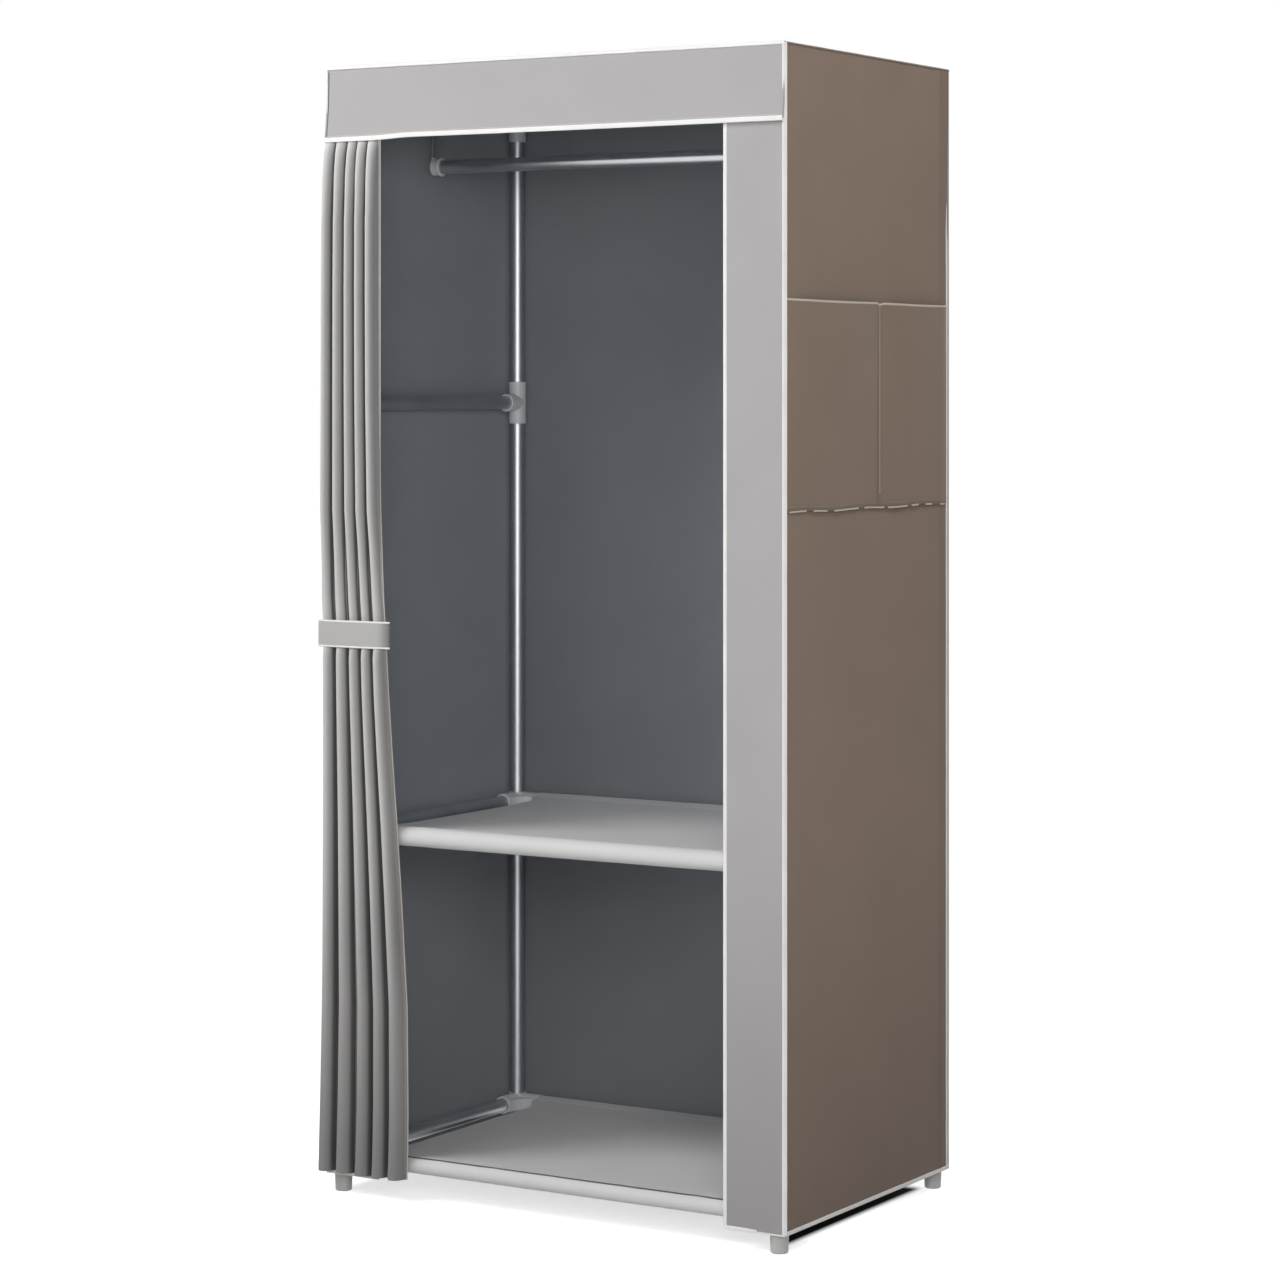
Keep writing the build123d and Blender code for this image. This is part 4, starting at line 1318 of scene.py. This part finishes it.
class WARDROBE_OT_set_stage(bpy.types.Operator):
    """Set the floor, the lamps, the sky and the camera"""
    bl_idname = "wardrobe.set_stage"
    bl_label = "Set stage"

    # Edges of the painted shadow under the wardrobe, and how far each fades
    dark_front = 140 * MM
    dark_slant = 20 * MM
    dark_left = 10 * MM
    dark_right = 22 * MM
    dark_back = 20 * MM
    front_fade = 160 * MM
    slant_fade = 16 * MM
    right_fade = 12 * MM
    fade = 22 * MM

    def execute(self, context):
        look = context.scene.wardrobe_stage
        half = look.floor_size / 2
        corners = [(-half, -half, 0), (half, -half, 0), (half, half, 0), (-half, half, 0)]
        tree, shader = new_material("Pale floor")
        shader.inputs["Roughness"].default_value = 0.9
        shader.inputs["Specular IOR Level"].default_value = 0.1
        place = node(tree, "ShaderNodeTexCoord")
        speck = spread(tree, noise(tree, place.outputs["Object"], 14.0, 3.0), 0.3, 0.7, 0.99, 1.0)
        seen = seen_directly(tree)
        away = node(tree, "ShaderNodeVectorMath", {0: place.outputs["Object"]}, operation="LENGTH")
        far = spread(tree, away.outputs["Value"], look.near * 0.5, look.near)
        under = self.painted_shadow_mask(tree, place.outputs["Object"])
        own = scaled(tree, (*look.floor,), speck)
        # Under the wardrobe the floor is painted black and loses its glow, as a painted shadow.
        shown = mixed(tree, maths(tree, "MAXIMUM", far, under), (1, 1, 1, 1), (0, 0, 0, 1))
        tree.links.new(mixed(tree, seen, own, shown), shader.inputs["Base Color"])
        shader.inputs["Emission Color"].default_value = (1, 1, 1, 1)
        lifted = maths(tree, "MULTIPLY", maths(tree, "SUBTRACT", 1.0, under), look.glow)
        glow = node(tree, "ShaderNodeMix", {0: far, 2: lifted, 3: 1.0}, data_type="FLOAT").outputs[0]
        tree.links.new(maths(tree, "MULTIPLY", seen, glow), shader.inputs["Emission Strength"])
        mesh_object("floor", corners, [(0, 1, 2, 3)], ["Pale floor"])
        for name, spot, aim, side, power in lamps_m:
            area_lamp(name, spot, aim, side, getattr(look, power))
        self.set_sky(context, look)
        self.set_camera(context)
        context.scene.view_settings.view_transform = "Standard"
        return {"FINISHED"}

    def painted_shadow_mask(self, tree, place):
        """1 on the floor under the wardrobe's right and rear part, which is painted black for direct views: a
        painted shadow.
        """
        parts = node(tree, "ShaderNodeSeparateXYZ", {0: place}).outputs
        slanted = maths(tree, "ADD", *parts[:2])
        sides = (
            (parts[1], PANEL_FRONT + self.dark_front, self.front_fade),
            (slanted, COVER_HIGH.x + PANEL_FRONT + self.dark_slant, self.slant_fade),
            (parts[0], COVER_LOW.x - self.dark_left, self.fade),
            (parts[0], COVER_HIGH.x - self.dark_right, -self.right_fade),
            (parts[1], COVER_HIGH.y - self.dark_back, -self.fade),
        )
        masks = [spread(tree, part, edge, edge + inward) for part, edge, inward in sides]
        front = maths(tree, "MULTIPLY", maths(tree, "MAXIMUM", *masks[:2]), masks[2])
        return maths(tree, "MULTIPLY", front, maths(tree, "MULTIPLY", *masks[3:]))

    @staticmethod
    def set_sky(context, look):
        """A white background that lights the object only a little."""
        world = bpy.data.worlds.new("Soft sky")
        context.scene.world = world
        world.use_nodes = True
        tree = world.node_tree
        direction = node(tree, "ShaderNodeTexCoord").outputs["Generated"]
        up = node(tree, "ShaderNodeSeparateXYZ", {0: direction}).outputs[2]
        dome = spread(tree, up, -0.2, 1.0, look.sky * 0.8, look.sky * 1.25)
        strength = node(
            tree, "ShaderNodeMix", {0: seen_directly(tree), 2: dome, 3: 1.0}, data_type="FLOAT"
        ).outputs[0]
        background = tree.nodes["Background"]
        background.inputs["Color"].default_value = (1, 1, 1, 1)
        tree.links.new(strength, background.inputs["Strength"])

    @staticmethod
    def set_camera(context):
        """The photograph's view, from a pinhole camera fitted to the wardrobe's corners."""
        data = bpy.data.cameras.new("Photo camera")
        data.sensor_width = 36
        data.lens = 99.53
        data.shift_y = -0.1932
        data.clip_end = 100
        camera = bpy.data.objects.new("Photo camera", data)
        camera.location = (2.46498, -4.03807, 1.06637)
        camera.rotation_euler = (math.radians(90), 0, math.radians(31.353))
        context.scene.collection.objects.link(camera)
        context.scene.camera = camera


STEPS = (
    WARDROBE_OT_mix_finishes,
    WARDROBE_OT_finish_frame,
    WARDROBE_OT_sew_cover,
    WARDROBE_OT_sew_valance,
    WARDROBE_OT_sew_binding,
    WARDROBE_OT_sew_pockets,
    WARDROBE_OT_stretch_shelves,
    WARDROBE_OT_hang_curtain,
    WARDROBE_OT_tie_curtain,
    WARDROBE_OT_set_stage,
)


class WARDROBE_PT_sewing_room(bpy.types.Panel):
    """The wardrobe's sizes, colours and steps"""
    bl_idname = "WARDROBE_PT_sewing_room"
    bl_label = "Fabric wardrobe"
    bl_space_type = "VIEW_3D"
    bl_region_type = "UI"
    bl_category = "Wardrobe"

    def draw(self, context):
        for step in STEPS:
            self.layout.operator(step.bl_idname)
        for name, group in GROUPS.items():
            box = self.layout.box()
            for field in group.__annotations__:
                box.prop(getattr(context.scene, name), field)


def register():
    for group in GROUPS.values():
        bpy.utils.register_class(group)
    for step in STEPS:
        bpy.utils.register_class(step)
    bpy.utils.register_class(WARDROBE_PT_sewing_room)
    for name, group in GROUPS.items():
        setattr(bpy.types.Scene, name, PointerProperty(type=group))


def unregister():
    for name in GROUPS:
        delattr(bpy.types.Scene, name)
    bpy.utils.unregister_class(WARDROBE_PT_sewing_room)
    for step in reversed(STEPS):
        bpy.utils.unregister_class(step)
    for group in reversed(list(GROUPS.values())):
        bpy.utils.unregister_class(group)


def main():
    register()
    bpy.ops.wardrobe.mix_finishes()
    bpy.ops.wardrobe.finish_frame()
    bpy.ops.wardrobe.sew_cover()
    bpy.ops.wardrobe.sew_valance()
    bpy.ops.wardrobe.sew_binding()
    bpy.ops.wardrobe.sew_pockets()
    bpy.ops.wardrobe.stretch_shelves()
    bpy.ops.wardrobe.hang_curtain()
    bpy.ops.wardrobe.tie_curtain()
    bpy.ops.wardrobe.set_stage()


if __name__ == "__main__":
    main()
